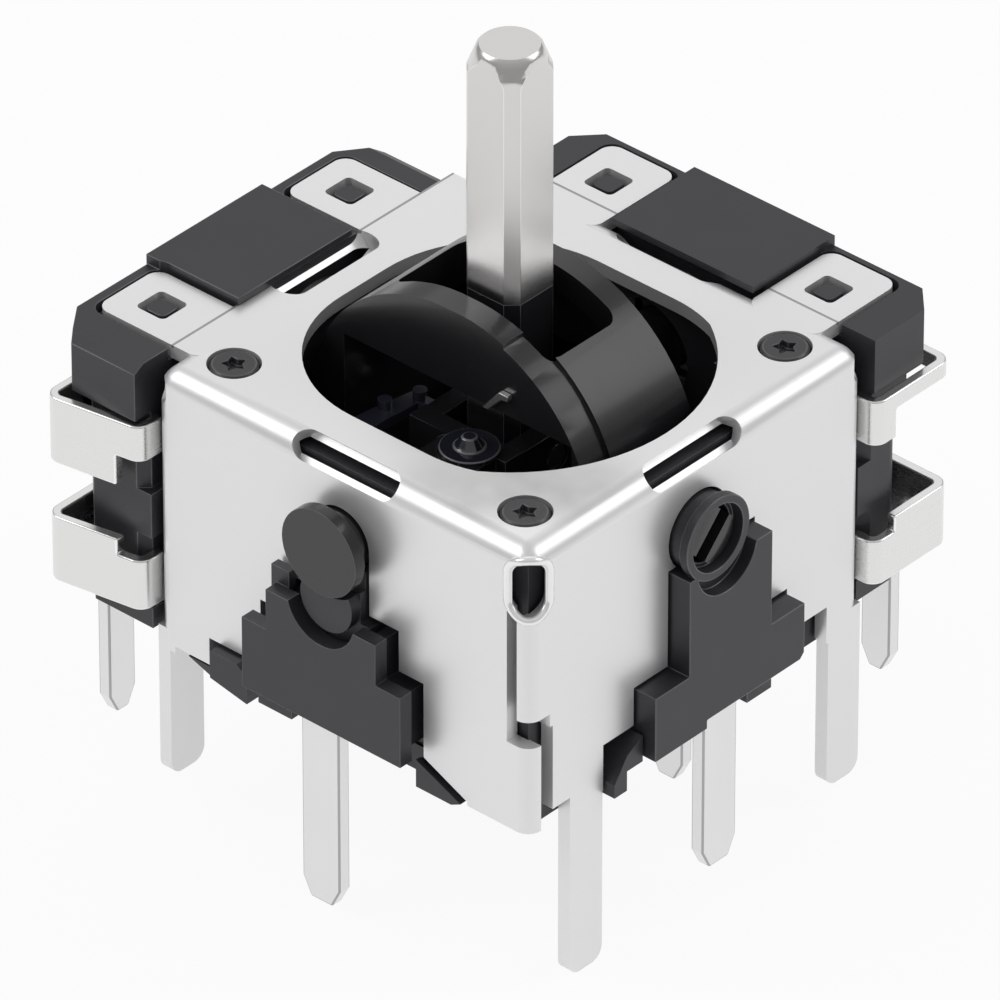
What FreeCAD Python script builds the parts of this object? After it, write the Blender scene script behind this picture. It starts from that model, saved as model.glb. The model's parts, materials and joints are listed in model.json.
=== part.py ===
import FreeCAD, Part
import math
import os
import re
import Sketcher
from FreeCAD import Placement, Rotation, Vector

# A two-axis thumbstick module: a folded metal cover over a moulded base, an upper arch and a
# lower rocker that cross at right angles, a stick between them, an angle sensor on each axis and
# a push switch under one end of the rocker.
# Frame: +Z up, z = 0 is the face of the board that the base sits on, and the stick stands on Z.
# The switch is on -Y, the slotted pivot on +X, and the sensors are on -X and +Y.

doc = FreeCAD.newDocument("StickModule")
sheet = doc.addObject("Spreadsheet::Sheet", "Sizes")

SIZES = [
    ("cover_side", 16.0, "outer width of the cover along X and along Y"),
    ("cover_top", 11.0, "top face of the cover above the board"),
    ("cover_lift", 0.2, "lower edge of the walls above the board"),
    ("metal", 0.5, "thickness of the folded sheet"),
    ("top_bend", 0.8, "outer radius of the bends round the top"),
    ("corner_bend", 0.55, "outer radius of the upright corners"),
    ("opening_radius", 6.62, "radius of the opening"),
    ("opening_flat", 5.9, "distance from the axis to the opening's flat sides along Y"),
    ("opening_left", 6.25, "distance from the axis to the opening's flat side on -X"),
    ("opening_corner", 4.8, "rounding between the opening's flat sides"),
    ("window_length", 4.4, "length of the window over each top bend"),
    ("window_reach", 0.75, "how far a window reaches over each side of its bend"),
    ("lip", 0.4, "how far the top runs on past the wall on the -X side"),
    ("ear_width", 2.9, "width of an ear along its sensor"),
    ("ear_corner", 0.5, "rounding of the ears' corners"),
    ("tray_gap", 0.15, "gap round an ear in its sensor's tray"),
    ("moat_depth", 0.6, "depth of the recess round a peg"),
    ("left_ear_reach", 3.3, "length of the -X ears from the sensor's inner face"),
    ("right_ear_reach", 2.95, "length of the +Y ears from the sensor's inner face"),
    ("left_ear_gap", 6.0, "distance between the facing sides of the two -X ears"),
    ("right_ear_gap", 6.5, "distance between the facing sides of the two +Y ears"),
    ("left_ear_hole", 1.76, "middle of the -X ears' holes from the sensor's inner face"),
    ("right_ear_hole", 1.2, "middle of the +Y ears' holes from the sensor's inner face"),
    ("ear_hole", 1.22, "side of the square hole in an ear"),
    ("hole_corner", 0.2, "rounding of the square holes' corners"),
    ("peg_side", 0.8, "side of the pegs in those holes"),
    ("left_ear_centre", -0.85, "middle of the -X ears along Y"),
    ("right_ear_centre", 0.4, "middle of the +Y ears along X"),
    ("relief_width", 1.05, "width of the front corner's relief hole"),
    ("relief_narrow", 0.7, "width of the other corners' relief holes"),
    ("relief_long", 2.2, "height of the front corner's relief hole"),
    ("relief_short", 0.9, "height of the other corners' relief holes"),
    ("relief_drop", 0.45, "top of the relief holes below the cover's top"),
    ("seam_width", 0.42, "gap where two walls meet at the front corner"),
    ("seam_low_width", 0.55, "width of that gap's lower part"),
    ("front_edge", 0.45, "lower edge of the front wall left of the switch"),
    ("side_edge", 0.75, "lower edge of the side wall at the front corner"),
    ("seam_step", 4.0, "height above the board where the front seam changes side"),
    ("screw_place", 6.2, "distance of the screws from the axis along X and Y"),
    ("screw_head", 0.8, "radius of the screw heads"),
    ("screw_gap", 0.09, "gap round a screw's head"),
    ("recess_reach", 0.43, "reach of the star recess's arms from the middle"),
    ("recess_notch", 0.25, "reach of the notches between those arms"),
    ("screw_shank", 0.45, "radius of the screw shanks"),
    ("screw_length", 2.6, "length of the screws"),
    ("leg_width", 1.55, "width of the cover's solder legs"),
    ("leg_length", 6.3, "length of the front leg below the board's face"),
    ("leg_length_left", 4.8, "length of the left leg below the board's face"),
    ("leg_length_right", 5.55, "length of the right and back legs below the board's face"),
    ("leg_tip", 0.5, "rounding of the legs' tips"),
    ("leg_front", 5.3, "distance of the front pair of legs from the axis along Y"),
    ("leg_back", 7.2, "distance of the back pair of legs from the axis along Y"),
    ("play", 0.05, "radial running clearance of pivots and sliding pieces"),
    ("loose", 0.1, "clearance where fixed pieces are dropped in"),
    ("pass_gap", 0.65, "clearance round an arm where it passes a wall"),
    ("gimbal_z", 8.0, "height of the two crossed axes above the board"),
    ("arch_radius", 5.85, "outer radius of the upper arch"),
    ("arch_lean", 0.4, "how far the hood's -X half is pushed outwards"),
    ("arch_wall", 1.0, "thickness of the upper arch"),
    ("arch_width", 5.0, "width of the upper arch along Y"),
    ("arch_side", 0.6, "thickness of the arch's side walls"),
    ("arch_hood", 2.9, "lower edge of the side walls above the axes"),
    ("arch_foot", 1.35, "how far the arch's cheeks reach below the axes"),
    ("arch_step", 0.16, "depth of the polished step along the arch's near edge"),
    ("arch_step_width", 1.2, "width of that step, from the near edge"),
    ("arch_step_start", 1.95, "start of that step along X"),
    ("arch_room", 0.9, "clearance of the upper arch from the base's walls"),
    ("slot_right", 3.15, "end of the arch's slot on +X"),
    ("slot_left", 3.6, "end of the arch's slot on -X"),
    ("slot_near", 1.55, "side of the arch's slot on -Y"),
    ("slot_far", 1.65, "side of the arch's slot on +Y"),
    ("slot_corner", 0.45, "rounding of that slot's corners"),
    ("arm_radius", 1.1, "radius of the arms of the arch and the rocker"),
    ("side_pivot", 0.98, "radius of the slotted pivot on +X"),
    ("pivot_back", 0.25, "how far the slotted pivot's end lies behind the bearing's face"),
    ("pivot_flat", 0.85, "distance from the axis to the flats on the pivot's end"),
    ("blade_thick", 0.9, "thickness of the blades that turn the sensors"),
    ("blade_height", 2.0, "height of those blades"),
    ("blade_length", 1.3, "length of those blades"),
    ("blade_gap", 0.2, "clearance each side of a blade"),
    ("hub_x", 2.05, "half width of the rocker's hub along X"),
    ("hub_y", 2.5, "half length of the rocker's hub along Y"),
    ("hub_height", 1.0, "half height of the rocker's hub"),
    ("well_y", 1.75, "half length of the hub's well along Y"),
    ("end_disc", 1.57, "radius of the rocker's end disc"),
    ("end_disc_thick", 0.45, "thickness of the end disc"),
    ("end_disc_proud", 0.05, "how far the end disc stands out of the switch's front"),
    ("neck_half", 1.15, "half width of the stick's square neck and shaft"),
    ("neck_corner", 0.38, "chamfer of the shaft's and the neck's upright edges"),
    ("shaft_foot", 5.8, "lower end of the metal shaft above the axes"),
    ("shaft_tip", 14.8, "tip of the shaft above the axes"),
    ("tip_radius", 1.08, "radius of the flat at the shaft's tip"),
    ("tip_length", 1.5, "length of the turned taper at the shaft's tip"),
    ("tang_radius", 0.7, "radius of the shaft's tang inside the neck"),
    ("tang_depth", 3.6, "length of that tang"),
    ("pin_radius", 0.45, "radius of the pivot pin through stick and rocker"),
    ("shoulder_top", 2.5, "top of the stick's spring shoulder below the axes"),
    ("shoulder_thick", 0.5, "thickness of that shoulder"),
    ("shoulder_radius", 1.75, "radius of that shoulder"),
    ("stem_radius", 1.0, "radius of the stick's stem"),
    ("stem_end", 6.4, "lower end of the stem below the axes"),
    ("disc_radius", 1.9, "radius of the centring disc"),
    ("disc_thick", 0.6, "thickness of the centring disc"),
    ("disc_rest", 0.35, "rest height of the centring disc above the floor"),
    ("disc_boss", 1.28, "radius of the boss that centres the spring"),
    ("wire", 0.15, "radius of the spring's wire"),
    ("coil_radius", 1.5, "radius of the spring's coil at the wire's centre"),
    ("coil_turns", 5, "turns of the spring"),
    ("press_travel", 0.4, "travel of the push switch"),
    ("floor", 1.0, "thickness of the base's floor"),
    ("tub_wall", 0.8, "thickness of the base's walls"),
    ("tub_top", 10.3, "top of the base's walls above the board"),
    ("post_side", 2.8, "side of the base's corner posts"),
    ("post_seat", 0.05, "gap between a corner post and the cover's top"),
    ("step_base", 3.4, "half width of the switch housing's foot"),
    ("switch_lug_left", 3.13, "left side of the switch housing's lug, from the middle"),
    ("switch_lug_right", 1.68, "right side of that lug, from the middle"),
    ("switch_lug_low", 0.5, "lower end of that lug"),
    ("step_mid", 2.35, "half width of the switch housing's upper part"),
    ("step_low", 1.25, "lower edge of the stepped fronts above the board"),
    ("step_foot_top", 3.95, "top of the switch housing's foot"),
    ("step_top", 5.5, "top of the switch housing"),
    ("plate_thick", 0.55, "thickness of the switch's front plate"),
    ("plate_inset", 0.3, "how far the housing behind the plate is smaller"),
    ("proud", 1.0, "how far the stepped fronts stand out from the cover"),
    ("switch_depth", 3.5, "depth of the switch housing"),
    ("notch_radius", 1.43, "radius of the notch in the switch housing's front"),
    ("notch_centre", 5.85, "centre of that notch above the board"),
    ("notch_skin", 0.6, "thickness of the front round the notch"),
    ("nose_radius", 1.1, "radius of the plunger's nose in that notch"),
    ("nose_back", 0.28, "how far the nose lies behind the plate's front"),
    ("nose_gap", 0.22, "gap between the nose and the end disc"),
    ("plunger_half", 1.5, "half width of the plunger's foot"),
    ("plunger_low", 3.75, "underside of the plunger above the board"),
    ("plunger_top", 7.25, "top of the plunger's cheeks above the board"),
    ("pocket_floor", 3.1, "floor of the plunger's pocket above the board"),
    ("pocket_end", 5.9, "inner end of the plunger's pocket from the axis"),
    ("dome_radius", 1.1, "radius of the snap dome"),
    ("dome_height", 0.6, "height of the snap dome"),
    ("dome_sheet", 0.12, "thickness of the snap dome"),
    ("bearing_centre", 0.65, "middle of the side bearing's steps along Y"),
    ("bearing_base", 3.6, "half width of the side bearing's foot"),
    ("bearing_mid", 1.98, "half width of the side bearing's upper part"),
    ("bearing_foot_top", 3.3, "top of the side bearing's foot above the board"),
    ("bearing_top", 6.95, "top of the side bearing's upper part"),
    ("bearing_gap", 0.75, "gap between the upper arch and the side bearing's inner end"),
    ("bearing_proud", 0.85, "how far the side bearing stands out from the cover"),
    ("bearing_low", 0.85, "lower edge of the side bearing on its switch side"),
    ("bearing_high", 1.18, "lower edge of the side bearing on its other side"),
    ("bearing_cut", 0.2, "chamfer at the side bearing's lower corner"),
    ("bearing_step", -0.45, "where the side bearing's lower edge steps up along Y"),
    ("bearing_notch", 1.42, "radius of the round notch under the flange"),
    ("bearing_notch_y", 0.45, "middle of that notch along Y"),
    ("bearing_notch_z", 7.15, "middle of that notch above the board"),
    ("bearing_notch_deep", 0.5, "depth of that notch"),
    ("bearing_lug_low", 0.5, "lower end of the side bearing's lug"),
    ("bearing_lug_side", 1.16, "near side of that lug from the bearing's middle"),
    ("bearing_lug_wide", 1.2, "width of that lug"),
    ("lug_deep", 0.45, "depth of the lugs under both fronts"),
    ("ring_wall", 0.3, "wall of the flange round the slotted pivot"),
    ("ring_bore", 1.2, "radius of the recess in front of the slotted pivot"),
    ("ring_thick", 0.35, "thickness of the flange round that recess"),
    ("ring_neck", 1.32, "radius of the bearing's neck behind the flange"),
    ("pivot_slot", 0.6, "width and depth of the slot in the pivot's end"),
    ("block_out", 0.4, "how far the base's blocks stand out of the walls"),
    ("front_block_out", 0.42, "how far the base's front block stands out of the wall"),
    ("left_face", 8.4, "inner face of the -X sensor from the axis"),
    ("right_face", 8.4, "inner face of the +Y sensor from the axis"),
    ("left_centre", -1.05, "middle of the -X sensor along Y"),
    ("right_centre", 0.5, "middle of the +Y sensor along X"),
    ("left_length", 14.9, "length of the -X sensor"),
    ("right_length", 15.2, "length of the +Y sensor"),
    ("left_depth", 3.8, "depth of the -X sensor's head"),
    ("right_depth", 3.3, "depth of the +Y sensor's head"),
    ("left_lower_depth", 2.9, "depth of the -X sensor's lower part"),
    ("right_lower_depth", 2.7, "depth of the +Y sensor's lower part"),
    ("lower_end", 0.4, "how far the lower part ends before the head does"),
    ("left_lower_slant", 0.65, "slanted corners of the -X sensor's lower part"),
    ("right_lower_slant", 1.5, "slanted corners of the +Y sensor's lower part"),
    ("lower_cut", 0.35, "slanted inner corners of a sensor's lower part"),
    ("head_low", 8.9, "underside of a sensor's head above the board"),
    ("head_sink", 0.05, "how far a head's top lies below the cover's top"),
    ("left_head_slant", 1.4, "slanted corners of the -X head, along the sensor"),
    ("left_head_slant_out", 1.05, "slanted corners of the -X head, outwards"),
    ("right_head_slant", 0.85, "slanted corners of the +Y head, along the sensor"),
    ("right_head_slant_out", 0.9, "slanted corners of the +Y head, outwards"),
    ("end_bevel_along", 0.43, "bevel on the -X head's ends, along the sensor"),
    ("end_bevel_fall", 0.26, "fall of that bevel"),
    ("pad_reach", 0.28, "reach of a sensor's inner pads towards the cover"),
    ("sensor_low", 0.8, "underside of the sensors above the board"),
    ("left_cap_length", 5.5, "length of the raised block on the -X sensor"),
    ("right_cap_length", 6.0, "length of the raised block on the +Y sensor"),
    ("left_cap_inner", 8.3, "inner edge of that block on the -X sensor"),
    ("right_cap_inner", 7.75, "inner edge of that block on the +Y sensor"),
    ("cap_rise", 0.3, "rise of that block above the cover's top"),
    ("rotor_radius", 2.0, "radius of a sensor's rotor"),
    ("rotor_thick", 1.3, "thickness of a sensor's rotor"),
    ("rotor_start", 0.2, "start of the rotor inside the sensor's face"),
    ("wiper_radius", 1.7, "radius of the wiper"),
    ("wiper_thick", 0.2, "thickness of the wiper"),
    ("board_start", 1.9, "start of the element board inside the sensor's face"),
    ("board_thick", 0.4, "thickness of the element board"),
    ("strap_metal", 0.35, "thickness of the sensor straps"),
    ("strap_bend", 0.52, "outer corner radius of the straps"),
    ("left_strap_slant", 0.6, "how far the -X straps' ends slant along their depth"),
    ("right_strap_slant", 0, "how far the +Y straps' ends slant along their depth"),
    ("left_strap_out", 3.45, "outer face of the -X straps from the sensor's inner face"),
    ("right_strap_out", 3.4, "outer face of the +Y straps from the sensor's inner face"),
    ("strap_hook", 1.0, "length of the hooks at the straps' ends"),
    ("hook_reach", 0.65, "how far a hook's step lies outside the sensor's inner face"),
    ("left_upper_band_low", 6.3, "lower edge of the -X upper strap's band"),
    ("left_upper_band_high", 8.8, "its upper edge"),
    ("left_upper_hook_low", 7.45, "lower edge of the -X upper strap's hooks"),
    ("left_upper_hook_high", 8.8, "their upper edge"),
    ("left_lower_band_low", 1.7, "lower edge of the -X lower strap's band"),
    ("left_lower_band_high", 4.2, "its upper edge"),
    ("left_lower_hook_low", 1.7, "lower edge of the -X lower strap's hooks"),
    ("left_lower_hook_high", 3.6, "their upper edge"),
    ("right_upper_band_low", 8.2, "lower edge of the +Y upper strap's band"),
    ("right_upper_band_high", 8.8, "its upper edge"),
    ("right_upper_hook_low", 7.1, "lower edge of the +Y upper strap's hooks"),
    ("right_upper_hook_high", 8.8, "their upper edge"),
    ("right_lower_band_low", 1.7, "lower edge of the +Y lower strap's band"),
    ("right_lower_band_high", 4.0, "its upper edge"),
    ("right_lower_hook_low", 1.7, "lower edge of the +Y lower strap's hooks"),
    ("right_lower_hook_high", 3.4, "their upper edge"),
    ("tube_radius", 0.45, "radius of the small tube at the +Y sensor's ends"),
    ("tube_bore", 0.25, "radius of that tube's bore"),
    ("tube_place", 1.25, "middle of the tube from the sensor's inner face"),
    ("tube_top", 7.2, "top of the tube above the board"),
    ("pin_width", 1.2, "width of a sensor terminal"),
    ("pin_metal", 0.5, "thickness of the terminals"),
    ("pin_pitch", 6.1, "distance between a sensor's terminals"),
    ("pin_place", 2.0, "face of a terminal from the sensor's inner face"),
    ("pin_length", 3.9, "length of the -X sensor's terminals below the board's face"),
    ("right_pin_length", 3.5, "length of the +Y sensor's terminals below the board's face"),
    ("pin_root", 1.5, "how far a terminal reaches into its housing"),
    ("switch_pin_back", 0.5, "face of the front switch terminal behind the switch's front"),
    ("side_pin_back", 0.2, "face of the side terminal behind the bearing's front"),
    ("switch_pin_width", 1.6, "width of the switch terminals"),
    ("switch_pin_length", 6.1, "length of the front switch terminal"),
    ("switch_pin_centre", -0.5, "middle of the front switch terminal along X"),
    ("side_pin_length", 4.9, "length of the side terminal"),
    ("side_pin_centre", 0.4, "middle of the side terminal along Y"),
    ("inner_pin_x", 3.45, "middle of the inner terminal along X"),
    ("inner_pin_y", 3.75, "face of the inner terminal along Y"),
    ("inner_pin_width", 1.35, "width of the inner terminal"),
    ("inner_pin_length", 5.8, "length of the inner terminal"),
    ("tip_cut", 0.35, "how far a terminal's tip narrows each side"),
    ("tip_rise", 0.7, "height of that taper"),
    ("bracket_metal", 0.4, "thickness of the contact plate"),
    ("bracket_drop", 0.9, "top of the contact plate below the arch's side wall"),
    ("bracket_gap", 0.85, "gap between the contact plate and the inside of the upper arch"),
    ("bracket_wide", 0.95, "width of the contact plate"),
    ("bracket_reach", 1.65, "width of the contact plate at its tip"),
    ("bracket_near", 5.6, "near end of the contact plate"),
    ("bracket_waist", 2.1, "where the contact plate turns aside"),
    ("bracket_far", 0.2, "far end of the contact plate"),
    ("stud_radius", 0.24, "radius of the contact plate's studs"),
    ("stud_height", 0.35, "height of those studs"),
    ("rivet_y", 2.75, "distance of the rocker's rivet from the axis along -Y"),
    ("rivet_x", 0.75, "place of the rivet along X"),
    ("rivet_seat", 1.05, "seat of the rivet above the axes"),
    ("rivet_flange", 1.0, "radius of the rivet's flange"),
    ("rivet_flange_thick", 0.2, "thickness of the rivet's flange"),
    ("rivet_hub", 0.5, "radius of the rivet's cone at its foot"),
    ("rivet_tip", 0.25, "radius of the rivet's cone at its top"),
    ("rivet_height", 0.38, "height of the rivet's cone"),
    ("leg_wire", 0.22, "thickness of the small wire leg on the arch"),
]

for row, (alias, size, meaning) in enumerate(SIZES, start=1):
    sheet.set(f"A{row}", alias)
    sheet.set(f"B{row}", str(size))
    sheet.setAlias(f"B{row}", alias)
    sheet.set(f"C{row}", meaning)
doc.recompute()

ALIASES = {alias for alias, size, meaning in SIZES}
AXIS_TURNS = {
    "x": Rotation(Vector(0, 1, 0), 90),
    "y": Rotation(Vector(1, 0, 0), -90),
    "z": Rotation(),
}
PLANES = {
    "xy": (Rotation(), Vector(0, 0, 1), "z", "XY_Plane"),
    "xz": (Rotation(Vector(1, 0, 0), 90), Vector(0, 1, 0), "y", "XZ_Plane"),
    "yz": (Rotation(Vector(1, 1, 1), 120), Vector(1, 0, 0), "x", "YZ_Plane"),
}
PIVOT_LEAN = 44
STAR_ARMS = 5
nodes = []


def formula(text):
    """The text with each size name pointed at the sheet."""
    return re.sub(r"[a-z_]+", lambda m: f"Sizes.{m[0]}" if m[0] in ALIASES else m[0], str(text))


def number(text):
    """The value that a formula has now."""
    return float(sheet.evalExpression(formula(text)))


def bind(item, **formulas):
    """Ties properties of an item to formulas; a double underscore stands for a dot."""
    for name, text in formulas.items():
        item.setExpression(name.replace("__", "."), formula(text))


def block(name, x, y, z):
    """A box between three pairs of formulas."""
    item = doc.addObject("Part::Box", name)
    bind(item, Length=f"({x[1]}) - ({x[0]})", Width=f"({y[1]}) - ({y[0]})")
    bind(item, Height=f"({z[1]}) - ({z[0]})", Placement__Base__x=x[0])
    bind(item, Placement__Base__y=y[0], Placement__Base__z=z[0])
    return item


def rod(name, axis, radius, span, centre):
    """A cylinder along an axis; centre gives its place along the other two axes, in XYZ order."""
    item = doc.addObject("Part::Cylinder", name)
    item.Placement = Placement(Vector(), AXIS_TURNS[axis])
    bind(item, Radius=radius, Height=f"({span[1]}) - ({span[0]})")
    others = [letter for letter in "xyz" if letter != axis]
    bind(item, **{f"Placement__Base__{axis}": span[0]})
    for letter, place in zip(others, centre):
        bind(item, **{f"Placement__Base__{letter}": place})
    return item


def cone(name, lower, upper, span, centre):
    """An upright cone with its two radii, its span along Z and its place along X and Y."""
    item = doc.addObject("Part::Cone", name)
    bind(item, Radius1=lower, Radius2=upper, Height=f"({span[1]}) - ({span[0]})")
    bind(item, Placement__Base__x=centre[0], Placement__Base__y=centre[1])
    bind(item, Placement__Base__z=span[0])
    return item


def turned(half_along, half_across, shift="0"):
    """A rectangle round the gimbal's axis in Y and Z, leaning by PIVOT_LEAN and shifted along its length."""
    lean = math.radians(PIVOT_LEAN)
    corners = ((-1, -1), (-1, 1), (1, 1), (1, -1))
    points = []
    for long_side, short_side in corners:
        along = f"({shift} + {long_side} * ({half_along}))"
        across = f"({short_side} * ({half_across}))"
        y = f"{along} * {math.sin(lean):.5f} + {across} * {math.cos(lean):.5f}"
        z = f"gimbal_z + {along} * {math.cos(lean):.5f} - {across} * {math.sin(lean):.5f}"
        points.append((y, z))
    return points


def draw(outline, points):
    """Fills a sketch with a closed outline whose corners follow their formulas."""
    places = [Vector(number(u), number(v), 0) for u, v in points]
    for start, end in zip(places, places[1:] + places[:1]):
        outline.addGeometry(Part.LineSegment(start, end), False)
    count = len(points)
    for index in range(count):
        outline.addConstraint(Sketcher.Constraint("Coincident", index, 2, (index + 1) % count, 1))
    for index, (u, v) in enumerate(points):
        for kind, text, place in (("DistanceX", u, places[index].x), ("DistanceY", v, places[index].y)):
            made = outline.addConstraint(Sketcher.Constraint(kind, -1, 1, index, 1, place))
            outline.setExpression(f"Constraints[{made}]", formula(text))


def prism(name, plane, points, span):
    """A straight-sided outline in a plane, drawn out along the plane's third axis."""
    turn, along, letter = PLANES[plane][:3]
    outline = doc.addObject("Sketcher::SketchObject", f"{name}_outline")
    outline.Placement = Placement(Vector(), turn)
    draw(outline, points)
    bind(outline, **{f"Placement__Base__{letter}": span[0]})
    item = doc.addObject("Part::Extrusion", name)
    item.Base = outline
    item.DirMode = "Custom"
    item.Dir = along
    item.Solid = True
    bind(item, LengthFwd=f"({span[1]}) - ({span[0]})")
    return item


def joined(name, *items):
    """One solid made of several."""
    item = doc.addObject("Part::MultiFuse", name)
    item.Shapes = list(items)
    item.Refine = True
    return item


def common(name, *items):
    """What several solids share."""
    item = doc.addObject("Part::MultiCommon", name)
    item.Shapes = list(items)
    return item


def cut(name, base, *tools):
    """A solid less the tools."""
    item = doc.addObject("Part::Cut", name)
    item.Base = base
    item.Tool = tools[0] if len(tools) == 1 else joined(f"{name}_tools", *tools)
    item.Refine = True
    return item


def node(label, item):
    """Marks a finished sub-part; its Label names its file."""
    item.Label = label
    nodes.append(item)
    return item


def rectangle(low_u, high_u, low_v, high_v):
    """The four corners of a rectangle."""
    return [(low_u, low_v), (high_u, low_v), (high_u, high_v), (low_u, high_v)]


def new_body(label):
    """An empty body of features."""
    item = doc.addObject("PartDesign::Body", f"{label}_features")
    return item


def new_sketch(body, name, plane, height="0"):
    """A sketch on one of the body's own origin planes, lifted off it by a formula."""
    role = PLANES[plane][3]
    outline = body.newObject("Sketcher::SketchObject", name)
    support = next(f for f in body.Origin.OriginFeatures if f.Role == role)
    outline.AttachmentSupport = [(support, "")]
    outline.MapMode = "FlatFace"
    bind(outline, AttachmentOffset__Base__z=height)
    return outline


def pad(body, name, outline, length):
    """Adds the outline's solid, upwards from its plane."""
    item = body.newObject("PartDesign::Pad", name)
    item.Profile = outline
    bind(item, Length=length)
    doc.recompute()
    return item


def pocket(body, name, outline, length, upwards=False):
    """Takes the outline's solid away."""
    item = body.newObject("PartDesign::Pocket", name)
    item.Profile = outline
    item.Reversed = upwards
    bind(item, Length=length)
    doc.recompute()
    return item


def revolve(body, name, outline):
    """Turns an outline in the XZ plane round the body's Z axis."""
    item = body.newObject("PartDesign::Revolution", name)
    item.Profile = outline
    item.ReferenceAxis = (outline, ["V_Axis"])
    item.Angle = 360
    doc.recompute()
    return item


def round_edges(body, name, base, radius, picked):
    """Rounds the base's edges that the test picks."""
    edges = [f"Edge{i}" for i, edge in enumerate(base.Shape.Edges, start=1) if picked(edge)]
    item = body.newObject("PartDesign::Fillet", name)
    item.Base = (base, edges)
    bind(item, Radius=radius)
    doc.recompute()
    return item


def chamfer_edges(body, name, base, size, picked):
    """Cuts the base's edges that the test picks."""
    edges = [f"Edge{i}" for i, edge in enumerate(base.Shape.Edges, start=1) if picked(edge)]
    item = body.newObject("PartDesign::Chamfer", name)
    item.Base = (base, edges)
    bind(item, Size=size)
    doc.recompute()
    return item


def soft_block(name, x, y, z, radius):
    """A box with rounded upright edges."""
    body = new_body(name)
    plan = new_sketch(body, f"{name}_plan", "xy", z[0])
    draw(plan, rectangle(x[0], x[1], y[0], y[1]))
    bar = pad(body, f"{name}_pad", plan, f"({z[1]}) - ({z[0]})")
    round_edges(body, f"{name}_corners", bar, radius, upright)
    return body


def upright(edge):
    """Tells whether an edge is straight and parallel to Z."""
    ends = edge.BoundBox
    return len(edge.Vertexes) == 2 and ends.XLength < 1e-6 and ends.YLength < 1e-6


def level(edge, height):
    """Tells whether an edge lies flat at a height."""
    ends = edge.BoundBox
    return abs(ends.ZMin - height) < 1e-6 and abs(ends.ZMax - height) < 1e-6


# Stepped outlines, shared by the fronts and by the cut-outs that they fill.


def switch_steps(gap="0"):
    """The switch housing's front in X and Z, grown by a gap."""
    base, mid = f"step_base + {gap}", f"step_mid + {gap}"
    foot, top = f"step_foot_top + {gap}", f"step_top + {gap}"
    low = f"step_low - {gap}"
    return [
        (f"-({base})", low), (base, low), (base, foot), (mid, foot),
        (mid, top), (f"-({mid})", top), (f"-({mid})", foot), (f"-({base})", foot),
    ]


def bearing_steps(gap="0"):
    """The side bearing's front in Y and Z, grown by a gap."""
    foot_low, foot_high = f"bearing_centre - bearing_base - {gap}", f"bearing_centre + bearing_base + {gap}"
    mid_low, mid_high = f"bearing_centre - bearing_mid - {gap}", f"bearing_centre + bearing_mid + {gap}"
    low, high = f"bearing_low - {gap}", f"bearing_high - {gap}"
    foot, top = f"bearing_foot_top + {gap}", f"bearing_top + {gap}"
    return [
        (foot_low, low), ("bearing_step", low), ("bearing_step", high), (f"{foot_high} - bearing_cut", high),
        (foot_high, f"{high} + bearing_cut"), (foot_high, foot), (mid_high, foot),
        (mid_high, top), (mid_low, top), (mid_low, foot), (foot_low, foot),
    ]


def sensor_box(side, name, along, out, z, corner=None):
    """A box in a sensor's own directions: along it, outwards from the stick, and up."""
    x, y = (along, out) if side == "right" else ((f"-({out[1]})", f"-({out[0]})"), along)
    return soft_block(name, x, y, z, corner) if corner else block(name, x, y, z)


def sensor_rod(side, name, radius, out):
    """A cylinder on a sensor's axis, outwards from the stick."""
    if side == "left":
        return rod(name, "x", radius, (f"-({out[1]})", f"-({out[0]})"), ("0", "gimbal_z"))
    return rod(name, "y", radius, out, ("0", "gimbal_z"))


# Cover: one folded sheet with its ears, windows, corner reliefs and solder legs.

HALF = "cover_side / 2"
SWITCH_FACE = "(cover_side / 2 + proud)"
BEARING_FACE = "(cover_side / 2 + bearing_proud)"
DISC_FACE = "(cover_side / 2 + proud + end_disc_proud)"
INSIDE = "(cover_side / 2 - metal)"
LEG_TOP = "cover_lift + top_bend"


def leg(name, side, centre, length):
    """One solder leg in the plane of a side wall, with rounded tips."""
    low, high = f"{centre} - leg_width / 2", f"{centre} + leg_width / 2"
    x = (INSIDE, HALF) if side > 0 else (f"-{HALF}", f"-{INSIDE}")
    tip_low, tip_high = f"{low} + leg_tip", f"{high} - leg_tip"
    tip_z = f"leg_tip - {length}"
    straight = block(f"{name}_straight", x, (low, high), (tip_z, LEG_TOP))
    middle = block(f"{name}_tip", x, (tip_low, tip_high), (f"-{length}", tip_z))
    rounds = [rod(f"{name}_round_{i}", "x", "leg_tip", x, (y, tip_z)) for i, y in enumerate((tip_low, tip_high))]
    return joined(name, straight, middle, *rounds)


def ear(name, side, place):
    """One ear of the top, held on a sensor's peg by its square hole."""
    along = (f"{place} - ear_width / 2", f"{place} + ear_width / 2")
    out = (f"{HALF} - top_bend", f"{side}_face + {side}_ear_reach")
    return sensor_box(side, f"{name}_plate", along, out, TOP_SHEET, "ear_corner")


def ear_hole(name, side, place):
    """The square hole in an ear."""
    middle = f"{side}_face + {side}_ear_hole"
    along = (f"{place} - ear_hole / 2", f"{place} + ear_hole / 2")
    out = (f"{middle} - ear_hole / 2", f"{middle} + ear_hole / 2")
    return sensor_box(side, name, along, out, ("cover_top - 2 * metal", "cover_top + metal"), "hole_corner")


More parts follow.
